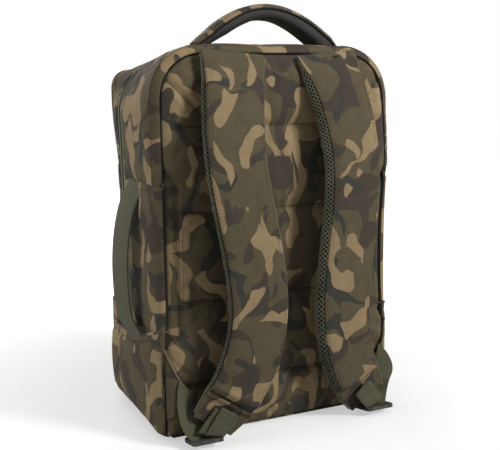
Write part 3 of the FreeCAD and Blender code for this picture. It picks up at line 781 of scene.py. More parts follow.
def finish_back():
    grid = refine(JOBS["back"]["grid"])
    flat = grid[..., [0, 2]]
    presses = ((2.6, 2.0, 1.0, 8), (1.2, 1.6, 0.7, 8), (1.3, 1.7, 0.8, 11))
    for near, press in zip(seam_distances(flat), presses):
        grid = seam(grid, near, *press, (0, 1, 0))
    grid[..., 1] += 0.5 * wobble(grid, 38, 5) + 0.25 * wobble(grid, 15, 6)
    uv = cloth_uv(grid[..., 0], grid[..., 2], 0, (0.31, 0.12))
    piece = panel("back_padding", grid, uv, 11.0, (0, 1, 0))
    declare(piece, "bag", "camo_fabric", "back_panel", "back_foam", "frame_sheet")
    points, ys = flat.reshape(-1, 2), grid[..., 1].ravel()
    low_quilt = QUILTS[3]
    for line, shift in (*[(q, 0.0) for q in QUILTS[:3] + MITRES], (FOLD_RIGHT, 4.0), (FOLD_LEFT, -4.0),
                        (low_quilt, 0.0), (low_quilt, 3.4)):
        line = np.array(line, float)
        line = resample(line, max(8, int(along(line)[-1] / 3)))
        t = unit(np.gradient(line, axis=0))
        line = line + np.stack([t[:, 1], -t[:, 0]], 1) * shift
        y = np.array([ys[np.argmin(((points - p) ** 2).sum(1))] for p in line])
        stitch("bag", np.stack([line[:, 0], y + 0.2, line[:, 1]], 1), (0, 1, 0))


# ------------------------------------------------------------------ body cloth

CROSS_SEAM, ON_TOP = 103, 440
POCKET_FRONT, POCKET_REAR = -93.0, 123.5
BODY_Y = np.concatenate([np.linspace(BODY_EDGE, REAR_ROLL, 22)[:-1],
                         REAR_ROLL + (REAR - REAR_ROLL) * np.sin(np.radians(np.linspace(0, 90, 8)))])


def band_pins(shape):
    """Pins of a band of the body: its edges and its rolled rear edge."""
    pins = edge_pins(shape)
    pins[:, BODY_Y > 116] = True
    return pins


def start_body():
    points, normals, _ = arc_part(SEAM_HIGH)
    grid = over_outline(points, normals, BODY_Y, shell_inset)
    push = 0.9 * wobble(grid, 55, 1) + 0.405 * wobble(grid, 21, 4)
    push_out(grid, normals, push * step01(0, 12, np.minimum(BODY_Y - BODY_Y[0], BODY_Y[-1] - BODY_Y)))
    job("top_band", grid, band_pins(grid.shape), cap=4.0, grow=0.01)
    for side, sign in SIDES:
        z = np.concatenate([np.linspace(0.4, 24, 8)[:-1], np.linspace(24, SEAM_HIGH + 6, 55)])
        full = np.concatenate([np.linspace(-96, BODY_EDGE, 14)[:-1], BODY_Y])
        zz, yy = np.meshgrid(z, full, indexing="ij")
        x0 = np.full(zz.shape, HALF)
        d = shell_inset(sign * x0, zz, yy) + foot_inset(zz, yy)
        d = np.where(yy < BODY_EDGE, 3.5 + foot_inset(zz, yy), d) + 2.6 * step01(331, 335, zz)
        grid = np.stack([sign * (x0 - d), yy, zz + rear_lift(yy, zz)], -1)
        push = 1.1 * wobble(grid, 60, 7 + sign) + 0.4 * wobble(grid, 22, 9 + sign)
        push *= step01(0, 14, REAR_ROLL - yy) * step01(0, 10, SEAM_HIGH - zz)
        grid[..., 0] += sign * push
        upper = grid[z >= 140][:, full >= BODY_EDGE - 0.01]
        job("side_" + side, upper, band_pins(upper.shape))
        lower = grid[z <= 150]
        fold = lower[-1:] + [0, 0, 1.0]
        turned = [fold - [sign * back, 0, -0.4] for back in (7.0, 14.0)]
        JOBS["side_" + side]["lower"] = np.concatenate([lower, fold, *turned])


def finish_body():
    grid = refine(JOBS["top_band"]["grid"])
    s = arc_lengths(SEAM_HIGH, len(grid))
    x, z = grid[:, :1, 0], grid[:, :1, 2]
    cross = np.abs(np.abs(x) - CROSS_SEAM) + np.where(z > ON_TOP, 0, 99)
    grid = seam(grid, cross, 1.3, 1.8, 0.5, 7)
    grid = seam(grid, np.minimum(s - s[0], s[-1] - s)[:, None], 0.6, 2.0, 0.6, 8)
    piece = panel("top_band", grid, cloth_uv(s[:, None], grid[..., 1], 90, (0.9, 0.35)), 2.2)
    declare(piece, "bag", "camo_fabric", "top_gusset")
    normals = grid_normals(grid)
    for j in (int(len(BODY_Y) * 2 * 0.78), 5):
        stitch("bag", grid[:, j], normals[:, j])
    for k in (-1, 1):
        off = np.abs(grid[:, 10, 0] - k * (CROSS_SEAM - 4)) + np.where(grid[:, 10, 2] > ON_TOP, 0, 999)
        i = int(np.argmin(off))
        stitch("bag", grid[i, 4:-6], normals[i, 4:-6])
    for side, sign in SIDES:
        grid, lower = refine(JOBS["side_" + side]["grid"]), refine(JOBS["side_" + side]["lower"])
        shift = (1.7 if sign > 0 else 2.6, 0.55)
        uv = cloth_uv(grid[..., 1], grid[..., 2], 0, shift)
        piece = panel("side_cloth_" + side, grid, uv, 2.2)
        declare(piece, "bag", "camo_fabric", "side_panel_" + side)
        normals = grid_normals(grid)
        row = int(np.argmin(np.abs(grid[:, 20, 2] - SEAM_HIGH + 5)))
        stitch("bag", grid[row, 4:-6], normals[row, 4:-6])
        uv = cloth_uv(lower[..., 1], lower[..., 2], 0, shift)
        piece = panel("side_foot_" + side, lower, uv, 2.2, (sign, 0, 0))
        sewn_sheet(piece, lower)
        declare(piece, "bag", "camo_fabric")


def side_pocket(side, sign):
    """A bulging patch pocket over the whole lower side, with a slanted hemmed mouth."""
    y = np.concatenate([np.linspace(POCKET_FRONT, 108, 44)[:-1], np.linspace(108, POCKET_REAR, 8)])
    u = np.linspace(0, 1, 34)
    top = np.interp(y, [-93, -30, 40, 123], [117, 118, 124, 147])
    uu, yy = np.meshgrid(u, y, indexing="ij")
    zz = 1.2 + (top[None] - 1.2) * uu
    width = np.clip((yy - POCKET_FRONT) / (POCKET_REAR - POCKET_FRONT), 0, 1)
    close = (0.30 + 0.45 * step01(30, -50, yy)) * np.clip((uu - 0.6) / 0.4, 0, 1) ** 2
    rise = np.sin(np.clip(uu / 0.6, 0.01, 1) * math.pi / 2) ** 0.5 - close
    belly = (4 * width * (1 - width)) ** 0.4 * rise
    out = 1.0 + 11.5 * belly
    out = out + 1.5 * wobble(np.stack([yy, zz, 0 * yy], -1), 52, 23 + sign) * belly
    seam_inset = (rear_inset(np.asarray(sign * 100.0), zz) - 3.0) * roll((yy - REAR_ROLL) / 12.5)
    base = HALF - 3.0 - foot_inset(zz, yy) - seam_inset
    front = 10.0 * roll((-80 - yy) / 13.5)
    grid = np.stack([sign * (base + out - front), yy, zz + rear_lift(yy, zz)], -1)
    job("pocket_" + side, grid, edge_pins(uu.shape), (sign, 0, 0), cap=3.0, grow=0.008)


def finish_side_pocket(side, sign):
    grid = refine(JOBS["pocket_" + side]["grid"])
    hem = len(grid) - 6
    from_hem = np.abs(np.arange(len(grid)) - hem)[:, None] * 2.0
    grid = seam(grid, from_hem, 0.8, 2.0, 0.3, 6, (sign, 0, 0))
    uv = cloth_uv(grid[..., 1], grid[..., 2], 0, (3.3 if sign > 0 else 4.4, 0.21))
    piece = panel("side_pocket_cloth_" + side, grid, uv, 2.4, (sign, 0, 0))
    declare(piece, "bag", "camo_fabric", "side_pocket_" + side)
    normals = grid_normals(grid, (sign, 0, 0))
    stitch("bag", grid[hem, 3:-3], normals[hem, 3:-3])
    rim = resample(grid[-1, 2:-2], 60)
    cord = flat_section(3.4, 2.8, 0.2)
    declare(swept("pocket_hem_" + side, rim, (sign, 0, 0.2), cord, CAMO, (3.0, 0.4)), "bag", "camo_fabric")


TUB_HEM = 143.0


def make_tub():
    """The fixed lower front: a band round both front corners, rounded under the base."""
    y0, front, r = -88.0, -111.0, 20.0
    a = np.radians(np.linspace(0, 90, 10))
    arc = np.stack([HALF - 3 - r + r * np.cos(a), front + r - r * np.sin(a)], 1)
    plan = np.vstack([[[HALF - 3, y0]], arc])
    plan = resample(np.vstack([plan, plan[::-1] * [-1, 1]]), 110)
    t = unit(np.gradient(plan, axis=0))
    normal = np.stack([-t[:, 1], t[:, 0]], 1)
    normal *= np.sign((normal * plan).sum(1, keepdims=True))
    top_edge = [149.8, 150.6, 150.9, 151.0]
    z = np.concatenate([np.linspace(0.3, 22, 9)[:-1], np.linspace(22, 148.5, 26), top_edge])
    turn_in = np.concatenate([np.zeros(34), [0.6, 3, 9, 17]])[:, None]
    zz, k = np.meshgrid(z, np.arange(len(plan)), indexing="ij")
    d = 22 * roll((22 - zz) / 22) + turn_in
    grid = np.stack([plan[k, 0] - normal[k, 0] * d, plan[k, 1] - normal[k, 1] * d, zz], -1)
    sag = (1.4 * wobble(grid, 60, 31) + 0.5 * wobble(grid, 24, 32)) * step01(149, 130, zz)
    grid[..., :2] += normal[k] * sag[..., None]
    return grid


def finish_tub(grid):
    grid = refine(grid)
    grid = seam(grid, np.abs(grid[..., 2] - TUB_HEM), 0.7, 1.6, 0.3, 6)
    uv = cloth_uv(along(grid[30])[None], grid[..., 2], 0, (5.6, 0.4))
    piece = panel("lower_front_cloth", grid, uv, 2.4)
    declare(piece, "bag", "camo_fabric", "lower_front_panel")
    sewn_sheet(piece, grid)
    row = int(np.argmin(np.abs(grid[:, 100, 2] - TUB_HEM)))
    stitch("bag", grid[row, 3:-3], grid_normals(grid)[row, 3:-3])


def make_base():
    """The base cloth with its stiff board, a little crowned."""
    half, front, rear = 160, -96, 122
    xx, yy = np.meshgrid(np.linspace(-half, half, 41), np.linspace(front, rear, 29), indexing="ij")
    rim = np.minimum(half - np.abs(xx), np.minimum(yy - front, rear - yy))
    z = 0.25 + 0.35 * wobble(np.stack([xx, yy, 0 * xx], -1), 60, 51) + 1.2 * np.exp(-rim / 6)
    grid = np.stack([xx, yy, np.maximum(z, 0.05)], -1)
    piece = panel("base_cloth", grid, cloth_uv(xx, yy, 0, (6.4, 0.7)), 5.5, (0, 0, -1))
    declare(piece, "bag", "camo_fabric", "base_panel", "base_board")
    sewn_sheet(piece, grid)


def make_piping():
    """The corded seam between the back and the band, with its flange under the back's edge. The cord is real;
    its near-black colour is painted shade of the deep groove it lies in.
    """
    z = np.linspace(7, TOP - CORNER, 90)
    r = CORNER - 8.5
    angle = np.radians(np.linspace(0, 90, 20))
    right = np.stack([back_edge(1, z), z], 1)
    left = np.stack([-back_edge(-1, z), z], 1)
    arc = r * np.stack([np.cos(angle), np.sin(angle)], 1) ** (2 / POWER) + [HALF - CORNER, TOP - CORNER]
    foot = np.array([[150, 5.5], [0, 5.0], [-150, 5.5]])
    loop = np.vstack([right, arc[1:], (arc[:-1] * [-1, 1])[::-1], left[::-1], foot[::-1], right[:1]])
    loop = resample(loop, 520)[:-1]
    path = np.stack([loop[:, 0], 122.4 - 5 * step01(9, 5, loop[:, 1]), loop[:, 1]], 1)
    ahead = unit(np.roll(path, -1, 0) - np.roll(path, 1, 0))
    side = unit(np.cross(ahead, [0, 1, 0]))
    ring = cord_ring(2.2)
    ring[0] += [5.0, -0.9]
    ring[-1, 0] += 5.0
    rings = rings_along(path, ring, side, np.broadcast_to([0, 1.0, 0], path.shape))
    declare(loft("rear_welt", rings, WELT_PAINTED_SHADE, closed=True), "bag", "piping", "rear_piping")


# ------------------------------------------------------------------ zips

def zip_band(name, y_out, y_in, body, replaced):
    points, normals, s = arc_part(LID_LOW)
    ys = np.linspace(y_out, y_in, 5)
    grid = over_outline(points, normals, ys, lambda x, z, y: 1.4 + zip_inset(x, z))
    y = grid[..., 1]
    uv = np.stack([y - y_out, s[:, None] + 0 * y], -1) * MM
    declare(panel(name, grid, uv, 1.2, outside=ZIP_TAPE, inside=ZIP_TAPE), body, "zip_tape", replaced)


def zip_teeth(name, line, normals, reach, body, replaced):
    """One side of the coil: a row of small loops that reach over the closing line."""
    s = along(line)
    pitch = 2.1
    at = np.arange(1, s[-1] - 1, pitch) + (0 if reach > 0 else pitch / 2)
    across = np.array([0, 1.0, 0])
    tooth = ((-1.0, -0.3, 0.35), (-0.55, 0.75, 0.7), (0.45, 0.95, 0.75), (1.0, 0.45, 0.5))
    parts = []
    for c, u in zip(read_at(line, s, at), unit(read_at(normals, s, at))):
        stations = [(c + across * k * reach * 1.5 + u * h, w) for k, h, w in tooth]
        parts.append(bead(stations, np.cross(u, across), u, 0.7, 5))
    declare(joined(name, parts, COIL), body, "zip_coil", replaced)


def make_zips():
    zip_band("zip_tape_fixed", BODY_EDGE + 1.5, ZIP_LINE + 0.4, "bag", "zip_tape_body")
    zip_band("zip_tape_moving", LID_EDGE - 1.5, ZIP_LINE - 0.4, "lid", "zip_tape_lid")
    points, normals, _ = arc_part(LID_LOW + 2)
    line = over_outline(points, normals, [ZIP_LINE], lambda x, z, y: 1.3 + zip_inset(x, z))[:, 0]
    normals = np.stack([normals[:, 0], 0 * normals[:, 0], normals[:, 1]], 1)
    zip_teeth("zip_coil_fixed", line + [0, 1.2, 0], normals, -0.9, "bag", "zip_coil_body")
    zip_teeth("zip_coil_moving", line + [0, -1.2, 0], normals, 0.9, "lid", "zip_coil_lid")


# ------------------------------------------------------------------ lid

def rounded_loop(half, low, high, radius, inset):
    """A closed outline with rounded corners, counter-clockwise in (x, z), evenly sampled."""
    half, low, high, r = half - inset, low + inset, high - inset, max(radius - inset, 1)
    power = 2 / 2.2
    pts = []
    for cx, cz, start in ((half - r, high - r, 0), (-half + r, high - r, 90), (-half + r, low + r, 180),
                          (half - r, low + r, 270)):
        for a in np.radians(np.linspace(start, start + 90, 14)):
            c, s = math.cos(a), math.sin(a)
            pts.append((cx + r * math.copysign(abs(c) ** power, c),
                        cz + r * math.copysign(abs(s) ** power, s)))
    return resample(np.array(pts + pts[:1]), 201)[:-1]


def dish(name, rings, centre, shrink, face_y, uv_shift, edit):
    """A panel that turns in from a rim: the rings are (loop, y) pairs from the rim inwards, and then
    the last loop shrinks to the centre on the surface y = face_y(x, z)."""
    centre = np.array(centre)
    stack = [np.stack([loop[:, 0], np.full(len(loop), y), loop[:, 1]], 1) for loop, y in rings]
    last = rings[-1][0]
    for k in shrink:
        flat = centre + (last - centre) * k
        stack.append(np.stack([flat[:, 0], face_y(flat[:, 0], flat[:, 1]), flat[:, 1]], 1))
    grid = edit(np.array(stack))
    n, m = grid.shape[:2]
    loop = np.concatenate([grid[:, -1:], grid, grid[:, :1]], 1)
    normals = unit(np.cross(np.gradient(loop, axis=0), np.gradient(loop, axis=1)))[:, 1:-1]
    if (normals[n // 2] * np.array([0, -1.0, 0])).sum() < 0:
        normals = -normals
    inner = grid - normals * 2.4
    outside = np.vstack([grid.reshape(-1, 3), grid[-1:].mean(1)])
    verts = np.vstack([outside, inner.reshape(-1, 3), inner[-1:].mean(1)])
    off = n * m + 1
    around = [(j, (j + 1) % m) for j in range(m)]
    front = quads(n, m, wrap=True) + [[(n - 1) * m + j, n * m, (n - 1) * m + k] for j, k in around]
    back = [[i + off for i in f[::-1]] for f in front]
    rim = [[j, k, k + off, j + off] for j, k in around]
    flat = outside[:, [0, 2]].copy()
    away = unit(grid[0][:, [0, 2]] - centre)
    depth = (grid[..., 1] - grid[-1:, :, 1].min()).clip(0)
    flat[: n * m] += (away[None] * depth[..., None]).reshape(-1, 2)
    uv = cloth_uv(flat[:, 0], flat[:, 1], 0, uv_shift)
    return two_sided(name, verts, front, back, rim, uv), grid, normals


def lid_arch(count, inset=0.0):
    """The lid's outline at its front seam, from the right foot over the top to the left foot."""
    side = [(168, LID_LOW), (162, 210), (157.5, 280), (155.5, 343), (158, 375), (161.5, 409), (163, 440),
            (163, 461)]
    corner = [(137 + 26 * math.cos(a) ** 0.9, 461 + 26 * math.sin(a) ** 0.9)
              for a in np.radians(np.arange(8, 90, 9))]
    top = [(x, 509 - 0.00117 * x * x) for x in (137, 110, 80, 50, 25, 0)]
    right = spline(side + corner + top, 3.0)
    arch = resample(np.vstack([right, right[-2::-1] * [-1, 1]]), count)
    t = unit(np.gradient(arch, axis=0))
    return arch - np.stack([t[:, 1], -t[:, 0]], 1) * inset


def start_lid():
    points, normals, _ = arc_part(LID_LOW)
    start = points - normals * zip_inset(points[:, 0], points[:, 1])[:, None]
    end = lid_arch(len(points))
    t = np.linspace(0, 1, 12)
    flat = start[:, None] + (end - start)[:, None] * (t[None, :, None] ** 1.1)
    dip = 0.8 * np.exp(-t * (LID_EDGE - LID_SEAM) / 4.5)
    y = LID_EDGE + (LID_SEAM - LID_EDGE) * t
    grid = np.stack([flat[..., 0], np.broadcast_to(y, flat.shape[:2]), flat[..., 1]], -1)
    push = (0.9 * wobble(grid, 55, 12) + 0.4 * wobble(grid, 21, 15)) * step01(0, 0.2, np.minimum(t, 1 - t))
    push_out(grid, normals, push - dip)
    job("lid_band", grid, edge_pins(grid.shape), cap=3.0)


def lid_rim(inset):
    """The closed outline of the lid's front."""
    arch = lid_arch(202, inset)
    foot = np.stack([np.linspace(arch[-1, 0], arch[0, 0], 60), np.full(60, LID_LOW + inset * 0.5)], 1)
    return resample(np.vstack([arch, foot[1:-1], arch[:1]]), 261)[:-1]


def finish_lid():
    grid = refine(JOBS["lid_band"]["grid"])
    uv = cloth_uv(arc_lengths(LID_LOW, len(grid))[:, None], grid[..., 1], 90, (7.3, 0.2))
    piece = panel("lid_band", grid, uv, 2.2)
    declare(piece, "lid", "camo_fabric", "lid_gusset")
    sewn_sheet(piece, grid)
    normals = grid_normals(grid)
    for j in (2, -4):
        stitch("lid", grid[4:-4, j], normals[4:-4, j])

    turn = np.radians(np.linspace(0, 86, 10))
    rings = [(lid_rim(20 * (1 - math.cos(a))), LID_SEAM - 1 - 20 * math.sin(a)) for a in turn]
    face = lambda x, z: -103.0 - 2.0 * (1 - (x / 160) ** 2) * (1 - ((z - 330) / 190) ** 2)

    def edit(g):
        push = 1.3 * wobble(g, 60, 61) + 0.5 * wobble(g, 23, 62)
        g[..., 1] += push * step01(0.0, 0.35, np.linspace(0, 1, len(g))[:, None])
        return g

    shrink = np.linspace(1, 0.04, 40)[1:]
    piece, grid, normals = dish("lid_front_cloth", rings, (0, 325), shrink, face, (8.1, 0.1), edit)
    declare(piece, "lid", "camo_fabric", "lid_front_panel")
    stitch("lid", grid[8], normals[8])
    arch = lid_arch(220, -0.5)
    path = np.stack([arch[:, 0], np.full(len(arch), LID_SEAM), arch[:, 1]], 1)
    declare(swept("lid_welt", path, (0, -1, 0), cord_ring(1.3), CAMO, (8.8, 0.4)), "lid", "piping")
    organiser()


def organiser():
    """The front pocket with its horizontal zip."""
    zip_z, zip_y, zip_half = 391, -138.6, 97
    shape = lambda inset: rounded_loop(119, 183, 424, 30, inset)
    rings = [(shape(inset), y) for inset, y in ((-0.5, -104.0), (0, -107), (0, -113), (0, -119), (0.4, -125))]
    for a in np.radians(np.linspace(12, 88, 9)):
        rings.append((shape(13 * (1 - math.cos(a))), -125 - 13.0 * math.sin(a)))
    face = lambda x, z: -137.6 - 1.8 * (1 - (x / 120) ** 2) * (1 - ((z - 300) / 125) ** 2)

    def edit(g):
        x, z = np.abs(g[..., 0]), np.abs(g[..., 2] - zip_z)
        k = np.linspace(0, 1, len(g))[:, None]
        g[..., 1] += (1.1 * wobble(g, 46, 71) + 0.5 * wobble(g, 19, 72)) * step01(0.1, 0.4, k)
        slot, lips = step01(9.5, 6.5, z) * step01(100, 97, x), hump(z, 11, 2.5) * step01(103, 99, x)
        g[..., 1] += (2.6 * slot - 0.9 * lips) * step01(0.2, 0.4, k)
        return g

    shrink = np.linspace(1, 0.03, 60)[1:]
    piece, grid, normals = dish("organiser_cloth", rings, (0, 300), shrink, face, (9.3, 0.6), edit)
    declare(piece, "lid", "camo_fabric", "front_pocket")
    stitch("lid", grid[3], normals[3])
    xs = np.linspace(-zip_half, zip_half, 60)
    for z in (zip_z - 13, zip_z + 13):
        stitch("lid", np.stack([xs, -139.0 + 0 * xs, z + 0 * xs], 1), (0, -1, 0))
    xx, zz = np.meshgrid(xs, np.linspace(zip_z - 6.4, zip_z + 6.4, 7), indexing="ij")
    tape = np.stack([xx, zip_y + 0.15 * np.abs(zz - zip_z), zz], -1)
    piece = panel("organiser_tape", tape, np.stack([zz - 384, xx + 100], -1) * MM, 1.0, (0, -1, 0),
                  outside=ZIP_TAPE, inside=ZIP_TAPE)
    declare(piece, "lid", "zip_tape", "pocket_zip_tape")
    parts = []
    for i, x in enumerate(np.arange(-95, 95, 1.1)):
        stations = [(np.array([x, zip_y - 0.7 - 0.35 * (t > -1), zip_z + (t if i % 2 else -t)]), w)
                    for t, w in ((-1.9, 0.35), (-0.6, 0.65), (0.8, 0.65), (1.4, 0.4))]
        parts.append(bead(stations, np.array([1.0, 0, 0]), np.array([0, 1.0, 0]), 0.7, 5))
    declare(joined("organiser_coil", parts, COIL), "lid", "zip_coil")


# ------------------------------------------------------------------ shoulder straps

STRAP_ROUTE = [(69, 131, 501), (70, 136, 490), (72, 141, 473), (78, 152, 440), (83, 163, 398),
               (83, 172, 345), (75, 176, 285), (66, 177, 225), (62, 176, 170), (69, 173, 118), (84, 167, 77),
               (100, 162, 51), (111, 158.5, 36), (119, 156, 24)]
STRAP_FOLD = 42.0


def strap(side, sign):
    """A shoulder strap: mesh pad, camouflage face, a net over the pad's edges, and stitches."""
    route = np.array(STRAP_ROUTE, float) * [sign, 1, 1]
    route[:, 0] += (-4.0 if sign > 0 else -5.0) * hump(route[:, 2], 220, 130)
    path = spline(route, 4.0)
    length = along(path)
    s = length / length[-1]
    width = np.interp(s, [0, 0.1, 0.35, 0.8, 0.93, 1], [86, 84, 80, 80, 74, 61])
    depth = np.interp(s, [0, 0.03, 0.1, 0.9, 0.925, 1], [3.5, 6, 11, 11, 5.5, 4])
    _, across, out = framed(path, (0, 1, 0))
    bevels = (2.0, 2.8) if sign > 0 else (2.0, 8.5)
    wraps = (3.0, 4.5) if sign > 0 else (3.0, 0.6)
    cores = []
    for w, d in zip(width, depth):
        core = flat_section(w - 1.0, d, 0.8, radius=min(d * 0.3, 3.0))
        rise = np.clip(core[:, 1] / d + 0.5, 0, 1) * min(d / 10, 1)
        core[:, 0] -= np.where(core[:, 0] > 0, bevels[1], -bevels[0]) * rise
        cores.append(core)
    rings = rings_along(path + out * depth[:, None] / 2, cores, across, out)
    pad = loft("strap_pad_" + side, rings, SPACER)
    declare(pad, None, "spacer_mesh", "strap_mesh_" + side, "strap_foam_" + side)

    # the camouflage face, turned down over both edges of the pad
    t = np.linspace(-1, 1, 19)
    bend = np.radians([22, 45, 68, 90])
    cols = np.concatenate([[-1.0] * 5, t, [1.0] * 5])
    over = np.concatenate([[-3.0], -3 * np.sin(bend[::-1]), 0 * t, 3 * np.sin(bend), [3.0]])
    curl = np.concatenate([[3.0], 3 * (1 - np.cos(bend[::-1])), 0 * t, 3 * (1 - np.cos(bend)), [3.0]])
    curl[[0, -1]] += wraps
    shape = step01(4, 10, depth)[:, None]
    half = (width / 2 - 2.4)[:, None] - np.where(cols < 0, *bevels) * shape
    lift = depth[:, None] + 1.0 + 1.6 * (1 - cols ** 4) * shape - curl * (0.3 + 0.7 * shape)
    face = rings_along(path, np.stack([half * cols + over, lift], -1), across, out)
    ripple = 0.8 * wobble(face, 34, 81 + sign) + 0.4 * wobble(face, 14, 83 + sign)
    ends = (step01(0, 0.02, s) * step01(1, 0.98, s))[:, None]
    face += out[:, None] * (ripple * (1 - cols ** 6) * ends)[..., None]
    crease = np.abs(length - length[-1] + STRAP_FOLD)
    below = length > length[-1] - STRAP_FOLD
    hollow = np.where(below, 2.2 * hump(crease, 5.5, 2.8), 1.8 * hump(crease, 9, 5))
    fold = 2.6 * hump(crease, 0, 2.4) - hollow
    face = refine(face - out[:, None] * fold[:, None, None])
    fine_s = np.linspace(0, length[-1], len(face))
    shift = (10.2, 0.3) if sign > 0 else (11.6, 0.9)
    uv = cloth_uv(along(face[len(face) // 2])[None], fine_s[:, None], 0, shift)
    cover = panel("strap_face_cloth_" + side, face, uv, 1.2, (0, 1, 0), outside=CAMO_STRAP, inside=SPACER)
    declare(cover, None, "camo_fabric", "strap_face_" + side)
    sewn_sheet(cover, face)
    normals = unit(refine(np.repeat(out[:, None], 2, 1))[:, 0])

    # the diamond net of mesh along both edges
    parts = []
    fine = resample(path, int(length[-1] / 1.3))
    _, fine_across, fine_out = framed(fine, (0, 1, 0))
    fs = along(fine)
    half, deep = np.interp(fs, length, width) / 2, np.interp(fs, length, depth)
    shape = step01(4, 10, deep)
    keep = (fs > 6) & (fs < fs[-1] - 4)
    for edge, wrap, bevel in zip((-1, 1), wraps, bevels):
        top = np.maximum(deep - 0.8 - wrap * shape, 2.0)
        pitch, phases = (23.0, (0, 0.25, 0.5, 0.75)) if bevel > 6 else (11.5, (0, 0.5))
        for phase in phases:
            wave = 2 * np.abs((fs / pitch + phase) % 1 - 0.5)
            reach = edge * (half + 1.1 + 0.7 * np.sin(wave * math.pi) - bevel * wave * shape)
            rise = 0.9 + (top - 0.9) * wave
            line = (fine + fine_out * rise[:, None] + fine_across * reach[:, None])[keep]
            at = unit(np.gradient(line, axis=0))
            b = unit(np.cross(at, fine_out[keep]))
            tube = rings_along(line, cord_ring(0.8, 5), b, np.cross(at, b))
            parts.append((tube.reshape(-1, 3), tube_faces(*tube.shape[:2])))
    net = joined("strap_net_" + side, parts, STRAND)

    # rows of stitches along both edges of the face and at the end fold
    body = "strap_" + side
    for j in (11, face.shape[1] - 12):
        stitch(body, face[6:-4, j], normals[6:-4], length=2.4, radius=0.35, lift=0.1)
    row = int(np.argmin(np.abs(fine_s - fine_s[-1] + STRAP_FOLD)))
    stitch(body, face[row + 3, 4:-4], normals[row])
    stitches = joined("strap_stitches_" + side, STITCHES.pop(body), THREAD)
    for piece in (pad, cover, net, stitches):
        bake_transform(piece)


def ribbon(name, path, face, width, thick=1.7, start_skew=0.0, end_skew=0.0, uv_shift=(0.003, 0.2)):
    """Flat webbing whose two ends may be cut at a slant; width is one value or one for each point."""
    tangent, across, out = framed(path, face)
    s, reach = along(path), 22.0
    slant = start_skew * step01(reach, 0, s) + end_skew * step01(s[-1] - reach, s[-1], s)
    section = np.array([flat_section(w, thick, 0.25) for w in np.broadcast_to(width, len(path))])
    rings = rings_along(path, section, across, out)
    rings = rings + slant[:, None, None] * section[..., :1] * tangent[:, None]
    piece = loft(name, rings, WEBBING, uv_shift)
    return piece


def strap_patch(side, sign):
    """The doubled webbing that holds the ladder lock to the strap's end."""
    body = "strap_" + side
    face = (0, 1, 0.15)
    a, b = np.array([sign * 99.5, 176.0, 44.5]), np.array([sign * 121.5, 172.0, 15.0])
    path = spline([a, a * 0.72 + b * 0.28 + [0, 0.4, 0], a * 0.3 + b * 0.7 + [0, 0.8, 0], b], 2.5)
    narrow = np.interp(along(path) / along(path)[-1], [0, 0.4, 1], [27, 27, 23])
    piece = ribbon("strap_patch_webbing_" + side, path, face, narrow, 2.2, end_skew=0.5 * sign)
    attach(piece, body)
    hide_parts("strap_patch_" + side)
    _, across, out = framed(path, face)
    line = resample(np.array([(-10, 3), (10, 3), (10, 16), (-10, 16), (-10, 3), (10, 16)], float), 44)
    rows = np.clip((line[:, 1] / 2.5).astype(int), 0, len(path) - 1)
    sewn = path[rows] + across[rows] * line[:, :1] + out[rows] * 1.5
    stitch(body + "_patch", sewn, out[rows], length=2.2, radius=0.35, lift=0.1)
    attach(joined("strap_patch_stitches_" + side, STITCHES.pop(body + "_patch"), THREAD), body)
    start, end = np.array([sign * 108, 170.5, 43.0]), np.array([sign * 129.5, 168.5, 17.5])
    under = spline([start, (start + end) / 2 + [0, -0.5, 0], end], 2.5)
    loop = ribbon("strap_patch_loop_" + side, under, face, 25, end_skew=0.5 * sign, uv_shift=(0.003, 0.06))
    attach(loop, body)


# ------------------------------------------------------------------ webbing, wings and hardware

def wing(side, sign):
    """The bound triangle in the side seam that carries the adjuster webbing."""
    u, v = np.meshgrid(np.linspace(0, 1, 20), np.linspace(0, 1, 22))
    low = np.stack([170 - 30 * u, 30 + 24 * u], -1)
    high = np.stack([170 - 37 * u, 65.5 + 59.5 * (1 - u) ** 2.1], -1)
    flat = low + (high - low) * v[..., None]
    y = 128 + 9.5 * step01(0, 0.3, u) + 1.2 * np.sin(math.pi * v) * u
    grid = np.stack([sign * flat[..., 0], y, flat[..., 1]], -1)
    grid[..., 1] += 0.5 * wobble(grid, 18, 91)
    grid = refine(grid)
    uv = cloth_uv(grid[..., 0], grid[..., 2], 20, (12.7, 0.2))
    piece = panel("strap_wing_cloth_" + side, grid, uv, 1.8, (0, 1, 0))
    declare(piece, "bag", "camo_fabric", "strap_wing_" + side)
    sewn_sheet(piece, grid)
    edge, binding = resample(grid[-1], 30), flat_section(2.4, 2.6, 0.2)
    declare(swept("wing_binding_" + side, edge, (0, 1, 0), binding, EDGE_BINDING), "bag", "webbing")
    stitch("bag", grid[-5], (0, 1, 0))


ADJUSTERS = {
    "right": [(145, 139.5, 73), (149, 143, 60), (151, 147, 46), (150, 151.5, 35), (146, 155.5, 25),
              (140, 159, 17), (134, 162, 11.5)],
    "left": [(-148, 139.5, 76), (-153, 144, 68), (-153, 150.5, 58), (-145, 154.5, 47), (-140, 156, 34),
             (-136, 159, 20), (-133, 162, 11.5)],
}


def adjuster(side, sign):
    """The webbing from the wing to the ladder lock, stretched between the bag and the strap."""
    path = spline(ADJUSTERS[side], 2.5)
    k = along(path)[:, None] / along(path)[-1]
    lean = 0.5 * hump(k, 0.45, 0.35) if side == "right" else -0.75 * hump(k, 0.5, 0.3)
    turn = unit(np.concatenate([-lean, 1 + 0 * k, 0.1 + 0.9 * k ** 3], 1))
    piece = ribbon("adjuster_webbing_" + side, path, turn, 27, start_skew=-0.72 * sign)
    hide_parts("adjuster_" + side)
    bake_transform(piece)


CARRY_Y, HANDLE_Y = 45.0, 82.0


